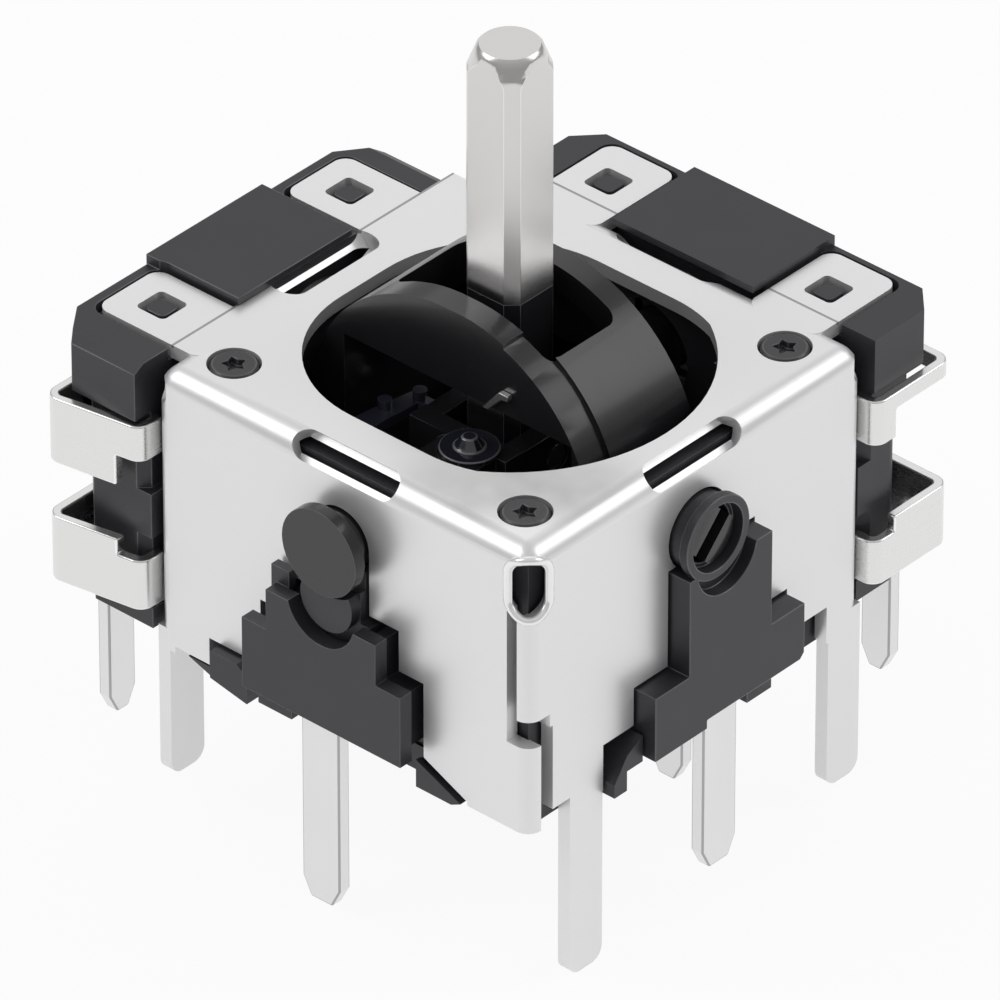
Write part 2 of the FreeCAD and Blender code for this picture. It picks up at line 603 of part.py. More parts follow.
TOP_SHEET = ("cover_top - metal", "cover_top")
EARS = [
    ("left_front_ear", "left", "(left_ear_centre - (left_ear_gap + ear_width) / 2)"),
    ("left_back_ear", "left", "(left_ear_centre + (left_ear_gap + ear_width) / 2)"),
    ("right_back_ear", "right", "(right_ear_centre - (right_ear_gap + ear_width) / 2)"),
    ("right_front_ear", "right", "(right_ear_centre + (right_ear_gap + ear_width) / 2)"),
]
WINDOW_TURNS = [("front", 0), ("side", 90), ("back", 180), ("left", 270)]
CORNERS = [("front", 1, -1), ("left", -1, -1), ("right", 1, 1), ("back", -1, 1)]


def oblong(name, length, width, depth, turn, place):
    """A round-ended cutter, long along its own X, set at a place with a turn."""
    radius = f"({width}) / 2"
    reach = f"(({length}) / 2 - {radius})"
    z = (f"-({depth}) / 2", f"({depth}) / 2")
    middle = block(f"{name}_middle", (f"-{reach}", reach), (f"-{radius}", radius), z)
    ends = [rod(f"{name}_end_{i}", "z", radius, z, (x, "0")) for i, x in enumerate((f"-{reach}", reach))]
    item = joined(name, middle, *ends)
    item.Placement = Placement(Vector(), turn)
    for letter, text in zip("xyz", place):
        bind(item, **{f"Placement__Base__{letter}": text})
    return item


def window(name, degrees):
    """The oblong cutter for the window over one top bend."""
    turn = Rotation(Vector(0, 0, 1), degrees).multiply(Rotation(Vector(1, 0, 0), 45))
    outwards = Rotation(Vector(0, 0, 1), degrees).multVec(Vector(0, -1, 0))
    place = (f"{outwards.x:.0f} * {HALF}", f"{outwards.y:.0f} * {HALF}", "cover_top")
    return oblong(name, "window_length", "window_reach * 1.41421", "4 * metal", turn, place)


def relief(name, across, along, height, width):
    """The round-ended relief hole on one upright corner."""
    upwards = Vector(0, 0, 1)
    outwards = Vector(across, along, 0).normalize()
    turn = Rotation(upwards, outwards.cross(upwards), outwards, "XZY")
    place = (f"{across} * {HALF}", f"{along} * {HALF}", f"cover_top - relief_drop - ({height}) / 2")
    return oblong(name, height, width, "6 * metal", turn, place)


def make_cover():
    body = new_body("cover")
    plan = new_sketch(body, "cover_plan", "xy", "cover_lift")
    draw(plan, rectangle(f"-{HALF}", HALF, f"-{HALF}", HALF))
    shell = pad(body, "cover_pad", plan, "cover_top - cover_lift")
    shell = round_edges(body, "cover_corners", shell, "corner_bend", upright)
    top = number("cover_top")
    shell = round_edges(body, "cover_bends", shell, "top_bend", lambda edge: level(edge, top))
    hollow = new_sketch(body, "cover_hollow_plan", "xy", "cover_lift")
    draw(hollow, rectangle(f"-{INSIDE}", INSIDE, f"-{INSIDE}", INSIDE))
    pocket(body, "cover_hollow", hollow, "cover_top - metal - cover_lift", upwards=True)

    lip = block("cover_lip", (f"-({HALF} + lip)", "-opening_left"), ("-opening_radius", "opening_radius"), TOP_SHEET)
    ears = [ear(*row) for row in EARS]
    legs = [
        leg("leg_front", 1, "-leg_front", "leg_length"), leg("leg_right", 1, "leg_back", "leg_length_right"),
        leg("leg_left", -1, "-leg_back", "leg_length_left"), leg("leg_back", -1, "leg_back", "leg_length_right"),
    ]
    folded = joined("cover_folded", body, lip, *ears, *legs)

    opening_round = rod("opening_round", "z", "opening_radius", ("cover_top - 2 * metal", "cover_top + metal"), ("0", "0"))
    opening_flats = soft_block("opening_flats", ("-opening_left", "opening_radius"), ("-opening_flat", "opening_flat"),
                               ("cover_top - 2 * metal", "cover_top + metal"), "opening_corner")
    opening = common("opening", opening_round, opening_flats)
    windows = [window(f"window_{name}", degrees) for name, degrees in WINDOW_TURNS]
    holes = [ear_hole(f"{name}_hole", side, place) for name, side, place in EARS]
    screw_holes = []
    reliefs = []
    for name, across, along in CORNERS:
        place = (f"{across} * screw_place", f"{along} * screw_place")
        drilled = rod(f"screw_hole_{name}", "z", "screw_head + screw_gap", ("cover_top - 2 * metal", "cover_top + metal"), place)
        screw_holes.append(drilled)
        size = ("relief_long", "relief_width") if name == "front" else ("relief_short", "relief_narrow")
        reliefs.append(relief(f"relief_{name}", across, along, *size))

    through = ("-2 * metal", "2 * metal")
    front_wall = (f"-{HALF} + {through[0]}", f"-{HALF} + {through[1]}")
    side_wall = (f"{HALF} + {through[0]}", f"{HALF} + {through[1]}")
    switch_hole = prism("switch_hole", "xz", switch_steps("loose"), front_wall)
    front_slot = block("front_slot", ("-(arm_radius + loose)", "arm_radius + loose"), front_wall, ("step_low", "gimbal_z"))
    front_round = rod("front_round", "y", "arm_radius + loose", front_wall, ("0", "gimbal_z"))
    front_foot = block("front_foot_cut", ("-step_base - 2.35", "-step_base"), front_wall, ("-metal", "step_low + loose + 0.15"))
    front_low = block("front_low_cut", ("-step_base - loose", "step_base + loose"), front_wall, ("-metal", "step_low"))
    wedge = [("step_base - metal", "-metal"), ("step_base + 1.95", "-metal"), ("step_base + 1.95", "cover_lift + 0.15"),
             ("step_base", "step_low")]
    front_left = block("front_left_cut", (f"-{HALF} + metal + 0.25", "-step_base - 2"), front_wall, ("-metal", "front_edge"))
    side_front = block("side_front_cut", side_wall, (f"-{HALF} + corner_bend", "-leg_front - leg_width / 2"), ("-metal", "side_edge"))
    front_wedge = prism("front_wedge_cut", "xz", wedge, front_wall)
    bearing_hole = prism("bearing_hole", "yz", bearing_steps("loose"), side_wall)
    bearing_round = rod("bearing_round", "x", "ring_neck + loose", side_wall, ("0", "gimbal_z"))
    foot_high = "bearing_centre + bearing_base"
    foot_low = "bearing_centre - bearing_base"
    side_low = block("side_low_cut", side_wall, (foot_low, foot_high), ("-metal", "step_low"))
    side_open = block("side_open_cut", side_wall, (foot_high, "leg_back - leg_width / 2 - loose"), ("-metal", "step_low + 0.4"))
    side_hook = block("side_hook_cut", side_wall, (f"{foot_low} - 1.55", foot_low), ("-metal", "step_low + 0.7"))
    left_pass = rod("left_pass", "x", "arm_radius + pass_gap", (f"-{HALF} - metal", f"-{HALF} + 2 * metal"), ("0", "gimbal_z"))
    back_pass = rod("back_pass", "y", "arm_radius + pass_gap", (f"{HALF} - 2 * metal", f"{HALF} + metal"), ("0", "gimbal_z"))

    seam_top = "cover_top - relief_drop - relief_long + relief_width / 2"
    seam_front = block("seam_front", (f"{HALF} - corner_bend - seam_width", f"{HALF} - corner_bend"),
                       (f"-{HALF} - metal", f"-{INSIDE} + metal"), ("seam_step", seam_top))
    seam_side = block("seam_side", (f"{INSIDE} - metal", f"{HALF} + metal"),
                      (f"-{HALF} + corner_bend", f"-{HALF} + corner_bend + seam_low_width"), ("-metal", "seam_step"))
    seam_notch = block("seam_notch", (f"{HALF} - corner_bend - seam_width", f"{HALF} + metal"),
                       (f"-{HALF} - metal", f"-{HALF} + corner_bend + seam_width"), ("seam_step - 0.5", "seam_step + 0.5"))
    cuts = [
        opening, *windows, *holes, *screw_holes, *reliefs, switch_hole, front_slot, front_round, front_foot,
        front_low, front_wedge, front_left, side_front, bearing_hole, bearing_round, side_low, side_open, side_hook, left_pass,
        back_pass, seam_front, seam_side, seam_notch,
    ]
    node("cover", cut("cover_finished", folded, *cuts))


# Base: a moulded tub inside the cover, with corner posts for the screws.

TUB = "(cover_side / 2 - metal - loose)"
BRACKET_TOP = "(gimbal_z + arch_hood - bracket_drop - bracket_metal * 5)"
BRACKET_LEFT = "(arch_radius + arch_lean - arch_wall - bracket_gap)"


def make_base():
    floor_plate = block("base_floor", (f"-{TUB}", TUB), (f"-{TUB}", TUB), ("0", "floor"))
    outside = block("base_outside", (f"-{TUB}", TUB), (f"-{TUB}", TUB), ("0", "tub_top"))
    room = f"{TUB} - tub_wall"
    inside = block("base_inside", (f"-({room})", room), (f"-({room})", room), ("floor", "tub_top + metal"))
    tub = cut("base_tub", outside, inside)
    posts = []
    screw_bores = []
    for name, across, along in CORNERS:
        x = (f"{TUB} - post_side", TUB) if across > 0 else (f"-{TUB}", f"-{TUB} + post_side")
        y = (f"{TUB} - post_side", TUB) if along > 0 else (f"-{TUB}", f"-{TUB} + post_side")
        posts.append(block(f"post_{name}", x, y, ("0", "cover_top - metal - post_seat")))
        place = (f"{across} * screw_place", f"{along} * screw_place")
        low = "cover_top - screw_length - loose"
        screw_bores.append(rod(f"screw_bore_{name}", "z", "screw_shank", (low, "cover_top"), place))
    block_outline = [("-step_base - 1.95", "0.35"), ("-step_base - 0.35", "0.05"), ("-step_base - 0.35", "step_low - loose"),
                     ("-step_base - 0.8", "step_low + 0.15"), ("-step_base - 1.95", "step_low + 0.15")]
    front_block = prism("base_front_block", "xz", block_outline, (f"-{HALF} - front_block_out", f"-{TUB} + tub_wall"))
    sliver = [("-step_base - 3.3", "front_edge - loose"), ("-step_base - 2.3", "0"), ("-step_base - 1.6", "0"),
              ("-step_base - 1.6", "front_edge - loose")]
    front_sliver = prism("base_front_sliver", "xz", sliver, (f"-{HALF} + 0.02", f"-{TUB} + tub_wall"))
    slope = [("step_base + loose - 0.25", "0"), ("step_base + 1.35", "0"), ("step_base + 1.75", "0.2"),
             ("step_base + loose - 0.25", "step_low - 0.2")]
    front_wedge = prism("base_front_wedge", "xz", slope, (f"-{HALF} - loose", f"-{TUB} + tub_wall"))
    foot_high, foot_low = "bearing_centre + bearing_base", "bearing_centre - bearing_base"
    hook = [(f"{foot_low} - 1.45", "0"), (f"{foot_low} - 0.85", "0"), (f"{foot_low} - 0.85", "bearing_low - 0.1"),
            (f"{foot_low} - loose", "bearing_low - 0.1"), (f"{foot_low} - loose", "step_low + 0.5"),
            (f"{foot_low} - 0.85", "step_low + 0.1"), (f"{foot_low} - 1.45", "step_low - 0.75")]
    side_hook = prism("base_side_hook", "yz", hook, (f"{TUB} - tub_wall", f"{HALF} + block_out"))
    shelf = block("base_shelf", (f"-{TUB} + post_side - metal", f"-{TUB} + post_side + 1.4"),
                  (f"-{TUB} + tub_wall - metal", f"-{TUB} + post_side - 0.2"),
                  (f"{BRACKET_TOP} - bracket_metal - 0.9", f"{BRACKET_TOP} - bracket_metal"))
    solid = joined("base_solid", floor_plate, tub, *posts, front_block, front_sliver, front_wedge, side_hook, shelf)
    through = (f"-{TUB} - metal", f"-{TUB} + tub_wall + loose")
    front_gap = block("base_front_gap", ("-step_base - loose", "step_base + loose"), through, ("floor", "tub_top - 0.8"))
    side_gap = block("base_side_gap", (f"{TUB} - tub_wall - loose", f"{TUB} + metal"),
                     (f"{foot_low} - loose", f"{foot_high} + loose"),
                     ("floor", "gimbal_z + ring_neck + loose"))
    left_pass = rod("base_left_pass", "x", "arm_radius + pass_gap", (f"-{TUB} - metal", f"-{TUB} + tub_wall + metal"),
                    ("0", "gimbal_z"))
    back_pass = rod("base_back_pass", "y", "arm_radius + pass_gap", (f"{TUB} - tub_wall - metal", f"{TUB} + metal"),
                    ("0", "gimbal_z"))
    moulded_pin = inner_pin("inner_pin_hole")
    arch_span = ("-arch_width / 2 - arch_room", "arch_width / 2 + arch_room")
    arch_room = rod("base_arch_room", "y", "arch_radius + arch_room", arch_span, ("0", "gimbal_z"))
    node("base", cut("base_finished", solid, *screw_bores, front_gap, side_gap, left_pass, back_pass, arch_room, moulded_pin))


# Screws: low heads with a five-armed recess.


def star_outline():
    """The star of a screw's recess, its arms and notches by turns."""
    points = []
    for step in range(2 * STAR_ARMS):
        reach = "recess_notch" if step % 2 else "recess_reach"
        turn = math.pi * step / STAR_ARMS
        points.append((f"{reach} * {math.cos(turn):.4f}", f"{reach} * {math.sin(turn):.4f}"))
    return points


def make_screws():
    for name, across, along in CORNERS:
        label = f"screw_{name}"
        body = new_body(label)
        profile = new_sketch(body, f"{label}_profile", "xz")
        draw(profile, [("0", "-screw_length"), ("screw_shank", "-screw_length"), ("screw_shank", "-metal"),
                       ("screw_head", "-metal"), ("screw_head", "-0.08"), ("screw_head - 0.08", "0"), ("0", "0")])
        turned = revolve(body, f"{label}_turned", profile)
        arm = new_sketch(body, f"{label}_arm", "xy")
        draw(arm, star_outline())
        star = pocket(body, f"{label}_slot", arm, "metal / 2")
        bind(body, Placement__Base__x=f"{across} * screw_place", Placement__Base__y=f"{along} * screw_place")
        bind(body, Placement__Base__z="cover_top")
        doc.recompute()
        if star.Shape.Volume >= turned.Shape.Volume:
            raise RuntimeError(f"{label}: the recess cuts nothing")
        node(label, body)


# Terminals: flat pins with tapered tips, moulded into their housings.


def pin_outline(centre, width, top, length):
    """A flat pin's outline across and up."""
    low, high = f"{centre} - ({width}) / 2", f"{centre} + ({width}) / 2"
    rise = f"tip_rise - {length}"
    return [(f"{low} + tip_cut", f"-{length}"), (f"{high} - tip_cut", f"-{length}"), (high, rise), (high, top),
            (low, top), (low, rise)]


def front_pin(name):
    """The front terminal of the switch."""
    points = pin_outline("switch_pin_centre", "switch_pin_width", "step_low + pin_root", "switch_pin_length")
    face = f"({SWITCH_FACE} - switch_pin_back)"
    return prism(name, "xz", points, (f"-{face}", f"-{face} + pin_metal"))


def side_pin(name):
    """The terminal under the side bearing."""
    points = pin_outline("side_pin_centre", "switch_pin_width", "step_low + pin_root", "side_pin_length")
    face = f"({BEARING_FACE} - side_pin_back)"
    return prism(name, "yz", points, (f"{face} - pin_metal", face))


def inner_pin(name):
    """The switch's second terminal, through the base's floor."""
    points = pin_outline("inner_pin_x", "inner_pin_width", "floor / 2", "inner_pin_length")
    return prism(name, "xz", points, ("inner_pin_y", "inner_pin_y + pin_metal"))


def sensor_pin(name, side, index):
    """One of a sensor's three terminals."""
    face, centre = ("left_face", "left_centre") if side == "left" else ("right_face", "right_centre")
    length = "pin_length" if side == "left" else "right_pin_length"
    points = pin_outline(f"({centre} + {index} * pin_pitch)", "pin_width", "sensor_low + pin_root", length)
    inner, outer = f"{face} + pin_place", f"{face} + pin_place + pin_metal"
    if side == "left":
        return prism(name, "yz", points, (f"-({outer})", f"-({inner})"))
    return prism(name, "xz", points, (inner, outer))


def make_switch_terminals():
    node("front_terminal", front_pin("front_terminal_pin"))
    node("side_terminal", side_pin("side_terminal_pin"))
    node("inner_terminal", inner_pin("inner_terminal_pin"))


# Switch: stepped housing with a plunger in its pocket and a snap dome under the plunger.

def make_switch():
    inner_end = f"-{SWITCH_FACE} + switch_depth"
    plate = prism("switch_plate", "xz", switch_steps(), (f"-{SWITCH_FACE}", f"-{SWITCH_FACE} + plate_thick"))
    stepped = prism("switch_stepped", "xz", switch_steps("-plate_inset"), (f"-{SWITCH_FACE} + plate_thick", inner_end))
    foot = block("switch_foot", ("-step_base + 0.4", "step_base - 0.4"), (f"-{TUB} + loose", inner_end), ("floor", "step_low + metal"))
    horn = block("switch_horn", ("-step_mid - 0.25", "-plunger_half - 0.33"), (f"-{SWITCH_FACE} + plate_thick", f"-{HALF} - loose"),
                 ("step_foot_top + metal", "step_top + 0.6"))
    lug = block("switch_lug", ("-switch_lug_left", "-switch_lug_right"), (f"-{HALF} - loose - lug_deep", f"-{HALF} - loose"),
                ("switch_lug_low", "step_low + metal"))
    solid = joined("switch_solid", plate, stepped, foot, horn, lug)
    hole = block("switch_pocket", ("-plunger_half - loose", "plunger_half + loose"),
                 (f"-{SWITCH_FACE} + notch_skin", "-pocket_end"), ("pocket_floor", "step_top + metal"))
    notch = rod("switch_notch", "y", "notch_radius", (f"-{SWITCH_FACE} - metal", f"-{SWITCH_FACE} + notch_skin + metal"),
                ("0", "notch_centre"))
    node("switch_housing", cut("switch_finished", solid, hole, notch, front_pin("front_pin_hole")))

    plunger_y = (f"-{SWITCH_FACE} + notch_skin + loose", "-pocket_end - loose")
    foot = block("plunger_foot", ("-plunger_half", "plunger_half"), plunger_y, ("plunger_low", "step_top - loose"))
    neck = block("plunger_neck", ("-arm_radius", "arm_radius"), plunger_y, ("plunger_low", "plunger_top"))
    nose = rod("plunger_nose", "y", "nose_radius", (f"-{SWITCH_FACE} + nose_back", f"-{HALF} - loose"), ("0", "notch_centre + loose"))
    saddle = rod("plunger_saddle", "y", "arm_radius + play", (f"-{SWITCH_FACE}", "-pocket_end + metal"),
                 ("0", "gimbal_z"))
    room = rod("plunger_disc_room", "y", "end_disc + nose_gap", (f"-{DISC_FACE} - metal", f"-{HALF} - loose / 2"), ("0", "gimbal_z"))
    node("switch_plunger", cut("plunger_finished", joined("plunger_solid", foot, neck, nose), saddle, room))

    body = new_body("dome")
    profile = new_sketch(body, "dome_profile", "xz")
    draw(profile, [("0", "dome_height - dome_sheet"), ("dome_radius * 0.45", "dome_height - dome_sheet"),
                   ("dome_radius * 0.8", "dome_height * 0.5 - dome_sheet"), ("dome_radius - dome_sheet", "0"),
                   ("dome_radius", "0"), ("dome_radius * 0.85", "dome_height * 0.5"),
                   ("dome_radius * 0.5", "dome_height - 0.02"), ("0", "dome_height - 0.02")])
    revolve(body, "dome_turned", profile)
    middle = f"-({SWITCH_FACE} - notch_skin + pocket_end) / 2"
    bind(body, Placement__Base__y=middle, Placement__Base__z="pocket_floor")
    node("switch_dome", body)


# Side bearing: stepped front with a ring round the arch's slotted pivot.


def make_side_bearing():
    face = BEARING_FACE
    inner = "arch_radius + bearing_gap"
    span = (inner, face)
    stepped = prism("bearing_stepped", "yz", bearing_steps(), span)
    foot = block("bearing_foot", (inner, f"{TUB} - loose"),
                 ("bearing_centre - bearing_base + 0.4", "bearing_centre + bearing_base - 0.4"), ("floor", "step_low + metal"))
    notch_at = ("bearing_notch_y", "bearing_notch_z")
    notch = rod("bearing_round_notch", "x", "bearing_notch", (f"{face} - bearing_notch_deep", f"{face} + metal"), notch_at)
    front = cut("bearing_front", stepped, notch)
    lug_side = "bearing_centre + bearing_lug_side"
    lug = block("bearing_lug", (f"{HALF} + loose", f"{HALF} + loose + lug_deep"), (lug_side, f"{lug_side} + bearing_lug_wide"),
                ("bearing_lug_low", "bearing_high + metal"))
    neck = rod("bearing_neck", "x", "ring_neck", span, ("0", "gimbal_z"))
    flange = rod("bearing_flange", "x", "ring_bore + ring_wall", (f"{face} - ring_thick", face), ("0", "gimbal_z"))
    solid = joined("bearing_solid", front, foot, lug, neck, flange)
    bore = rod("bearing_bore", "x", "side_pivot + play", (f"{inner} - metal", f"{face} + metal"), ("0", "gimbal_z"))
    recess = rod("bearing_recess", "x", "ring_bore", (f"{face} - ring_thick - loose", f"{face} + metal"), ("0", "gimbal_z"))
    over_floor = block("bearing_floor_room", (f"{inner} - metal", f"{TUB} + loose"),
                       ("bearing_centre - 2 * bearing_base", "bearing_centre + 2 * bearing_base"), ("0", "floor"))
    node("side_bearing", cut("bearing_finished", solid, bore, recess, over_floor, side_pin("side_pin_hole")))


# Upper arch: a slotted hood with a pivot on +X and a sensor blade on -X, turning about X.


def make_arch():
    half = "arch_width / 2"
    near_disc = rod("arch_disc_right", "y", "arch_radius", (f"-{half}", half), ("0", "gimbal_z"))
    lean_disc = rod("arch_disc_left", "y", "arch_radius", (f"-{half}", half), ("-arch_lean", "gimbal_z"))
    disc = joined("arch_disc", near_disc, lean_disc)
    reach = "arch_radius + arch_lean + metal"
    keep = block("arch_keep", (f"-({reach})", reach), (f"-{half} - metal", f"{half} + metal"),
                 ("gimbal_z - arch_foot", f"gimbal_z + {reach}"))
    cap = common("arch_cap", disc, keep)
    inner = "arch_radius - arch_wall"
    hollow = rod("arch_hollow", "y", inner, (f"-{half} + arch_side", f"{half} - arch_side"), ("0", "gimbal_z"))
    below = block("arch_below", (f"-({inner})", inner), (f"-{half} - metal", f"{half} + metal"),
                  ("gimbal_z - arch_foot - metal", "gimbal_z + arch_hood"))
    slot = soft_block("arch_slot", ("-slot_left", "slot_right"), ("-slot_near", "slot_far"),
                      ("gimbal_z + arch_hood", f"gimbal_z + {reach}"), "slot_corner")
    step_room = block("arch_step_room", ("arch_step_start", reach), (f"-{half} - metal", f"-{half} + arch_step_width"),
                      ("gimbal_z + 0.5", f"gimbal_z + {reach}"))
    step_core = rod("arch_step_core", "y", "arch_radius - arch_step", (f"-{half} - metal", f"{half}"), ("0", "gimbal_z"))
    step = cut("arch_step_cut", step_room, step_core)
    hood = cut("arch_hood_solid", cap, hollow, below, slot, step)
    root = "arch_radius - arch_wall + 0.1"
    pivot_end = f"{BEARING_FACE} - pivot_back"
    pivot = rod("arch_pivot", "x", "side_pivot", (root, pivot_end), ("0", "gimbal_z"))
    end_span = (f"{pivot_end} - pivot_slot", f"{pivot_end} + metal")
    pivot_slot = prism("arch_pivot_slot", "yz", turned("2 * side_pivot", "pivot_slot / 2"), end_span)
    flats = []
    for index, sign in enumerate((-1, 1)):
        shift = f"{sign} * (pivot_flat + side_pivot / 2)"
        flats.append(prism(f"arch_pivot_flat_{index}", "yz", turned("side_pivot / 2", "2 * side_pivot", shift), end_span))
    arm = rod("arch_arm", "x", "arm_radius", ("-left_face", f"-({root})"), ("0", "gimbal_z"))
    blade = block("arch_blade", ("-left_face - blade_length", "-left_face"), ("-blade_thick / 2", "blade_thick / 2"),
                  ("gimbal_z - blade_height / 2", "gimbal_z + blade_height / 2"))
    whole = joined("arch_whole", hood, pivot, arm, blade)
    node("upper_arch", cut("arch_finished", whole, pivot_slot, *flats))

    near = f"-{half}"
    foot = "gimbal_z + arch_hood + 0.05"
    points = [("1.25", foot), ("1.5", foot), ("2.05", f"{foot} + 0.6"), ("2.35", f"{foot} + 0.65"),
              ("2.35", f"{foot} + 0.85"), ("1.95", f"{foot} + 0.85")]
    node("arch_wire_leg", prism("arch_wire", "xz", points, (f"{near} - leg_wire", near)))


# Lower rocker: a hub with a well for the stick, an end disc on -Y and a sensor blade on +Y.


def make_rocker():
    z = ("gimbal_z - hub_height", "gimbal_z + hub_height")
    hub = block("rocker_hub", ("-hub_x", "hub_x"), ("-hub_y", "hub_y"), z)
    front_arm = rod("rocker_front_arm", "y", "arm_radius", (f"-{DISC_FACE} + end_disc_thick / 2", "-well_y - 0.2"), ("0", "gimbal_z"))
    back_arm = rod("rocker_back_arm", "y", "arm_radius", ("well_y + 0.2", "right_face"), ("0", "gimbal_z"))
    disc = rod("rocker_end_disc", "y", "end_disc", (f"-{DISC_FACE}", f"-{DISC_FACE} + end_disc_thick"), ("0", "gimbal_z"))
    blade = block("rocker_blade", ("-blade_thick / 2", "blade_thick / 2"), ("right_face", "right_face + blade_length"),
                  ("gimbal_z - blade_height / 2", "gimbal_z + blade_height / 2"))
    seat = block("rocker_seat", ("rivet_x - rivet_flange + 0.1", "rivet_x + rivet_flange - 0.1"),
                 ("-rivet_y - rivet_flange + 0.1", "-hub_y + 0.2"), ("gimbal_z", "gimbal_z + rivet_seat"))
    seat_back = block("rocker_seat_back", ("-hub_x", "hub_x"), ("-hub_y", "-rivet_y + rivet_flange + 0.05"),
                      ("gimbal_z", "gimbal_z + rivet_seat"))
    solid = joined("rocker_solid", hub, front_arm, back_arm, disc, blade, seat, seat_back)
    well = block("rocker_well", ("-neck_half - 3 * play", "neck_half + 3 * play"), ("-well_y", "well_y"),
                 ("gimbal_z - hub_height - metal", "gimbal_z + hub_height + metal"))
    pin_hole = rod("rocker_pin_hole", "x", "pin_radius + play", ("-hub_x - metal", "hub_x + metal"), ("0", "gimbal_z"))
    rivet_room = rod("rocker_rivet_room", "z", "rivet_flange + play", ("gimbal_z + rivet_seat", "gimbal_z + 2 * rivet_seat"),
                     ("rivet_x", "-rivet_y"))
    node("lower_rocker", cut("rocker_finished", solid, well, pin_hole, rivet_room))

    top = "gimbal_z + rivet_seat + rivet_flange_thick"
    flange = rod("rivet_flange_disc", "z", "rivet_flange", ("gimbal_z + rivet_seat", top), ("rivet_x", "-rivet_y"))
    hub_cone = cone("rivet_cone", "rivet_hub", "rivet_tip", (top, f"{top} + rivet_height"), ("rivet_x", "-rivet_y"))
    node("rocker_rivet", joined("rivet_solid", flange, hub_cone))


# Stick: moulded body with neck, spring shoulder and stem; metal shaft; pin through the rocker.


def make_stick():
    body = new_body("shaft")
    plan = new_sketch(body, "shaft_plan", "xy", "gimbal_z + shaft_foot")
    draw(plan, rectangle("-neck_half", "neck_half", "-neck_half", "neck_half"))
    bar = pad(body, "shaft_bar", plan, "shaft_tip - shaft_foot")
    chamfer_edges(body, "shaft_edges", bar, "neck_corner", upright)
    taper_top, taper_low = "gimbal_z + shaft_tip", "gimbal_z + shaft_tip - tip_length"
    envelope = new_body("shaft_taper")
    profile = new_sketch(envelope, "taper_profile", "xz")
    widest = "neck_half * 1.4143"
    draw(profile, [("0", "gimbal_z + shaft_foot"), (widest, "gimbal_z + shaft_foot"), (widest, taper_low),
                   ("tip_radius", f"{taper_top} - 0.1"), ("tip_radius - 0.1", taper_top), ("0", taper_top)])
    revolve(envelope, "taper_turned", profile)
    square = common("shaft_square", body, envelope)
    tang = rod("shaft_tang", "z", "tang_radius", ("gimbal_z + shaft_foot - tang_depth", "gimbal_z + shaft_foot + metal"),
               ("0", "0"))
    node("stick_shaft", joined("shaft_solid", square, tang))

    moulded = new_body("neck")
    plan = new_sketch(moulded, "neck_plan", "xy", "gimbal_z - shoulder_top - shoulder_thick / 2")
    draw(plan, rectangle("-neck_half", "neck_half", "-neck_half", "neck_half"))
    neck = pad(moulded, "neck_pad", plan, "shoulder_top + shoulder_thick / 2 + shaft_foot")
    chamfer_edges(moulded, "neck_edges", neck, "neck_corner", upright)
    shoulder = rod("stick_shoulder", "z", "shoulder_radius",
                   ("gimbal_z - shoulder_top - shoulder_thick", "gimbal_z - shoulder_top"), ("0", "0"))
    stem = rod("stick_stem", "z", "stem_radius", ("gimbal_z - stem_end", "gimbal_z - shoulder_top"), ("0", "0"))
    solid = joined("stick_solid", moulded, shoulder, stem)
    tang_hole = rod("stick_tang_hole", "z", "tang_radius",
                    ("gimbal_z + shaft_foot - tang_depth", "gimbal_z + shaft_foot + metal"), ("0", "0"))
    pin_hole = rod("stick_pin_hole", "x", "pin_radius", ("-neck_half - metal", "neck_half + metal"), ("0", "gimbal_z"))
    node("stick_body", cut("stick_finished", solid, tang_hole, pin_hole))
    node("pivot_pin", rod("pivot_pin_rod", "x", "pin_radius", ("-hub_x + play", "hub_x - play"), ("0", "gimbal_z")))

    low = "floor + disc_rest"
    plate = rod("disc_plate", "z", "disc_radius", (low, f"{low} + disc_thick"), ("0", "0"))
    boss = rod("disc_boss_rod", "z", "disc_boss", (low, f"{low} + disc_thick + 2 * wire"), ("0", "0"))
    bore = rod("disc_bore", "z", "stem_radius + play", (f"{low} - metal", f"{low} + disc_thick + 4 * wire"), ("0", "0"))
    node("centring_disc", cut("disc_finished", joined("disc_solid", plate, boss), bore))


def make_spring():
    """A round-wire coil between the stick's shoulder and the centring disc."""
    low = "floor + disc_rest + disc_thick + wire + 0.02"
    high = "gimbal_z - shoulder_top - shoulder_thick - wire - 0.02"
    path = doc.addObject("Part::Helix", "spring_path")
    bind(path, Radius="coil_radius", Height=f"({high}) - ({low})", Pitch=f"(({high}) - ({low})) / coil_turns")
    bind(path, Placement__Base__z=low)
    section = doc.addObject("Part::Circle", "spring_section")
    section.Placement = Placement(Vector(), Rotation(Vector(1, 0, 0), 90))
    bind(section, Radius="wire", Placement__Base__x="coil_radius", Placement__Base__z=low)
    coil = doc.addObject("Part::Sweep", "spring_coil")
    coil.Sections = [section]
    coil.Spine = path
    coil.Solid = True
    coil.Frenet = True
    node("centring_spring", coil)


# Contact plate: a small bent plate with two studs, seen at the front of the opening.


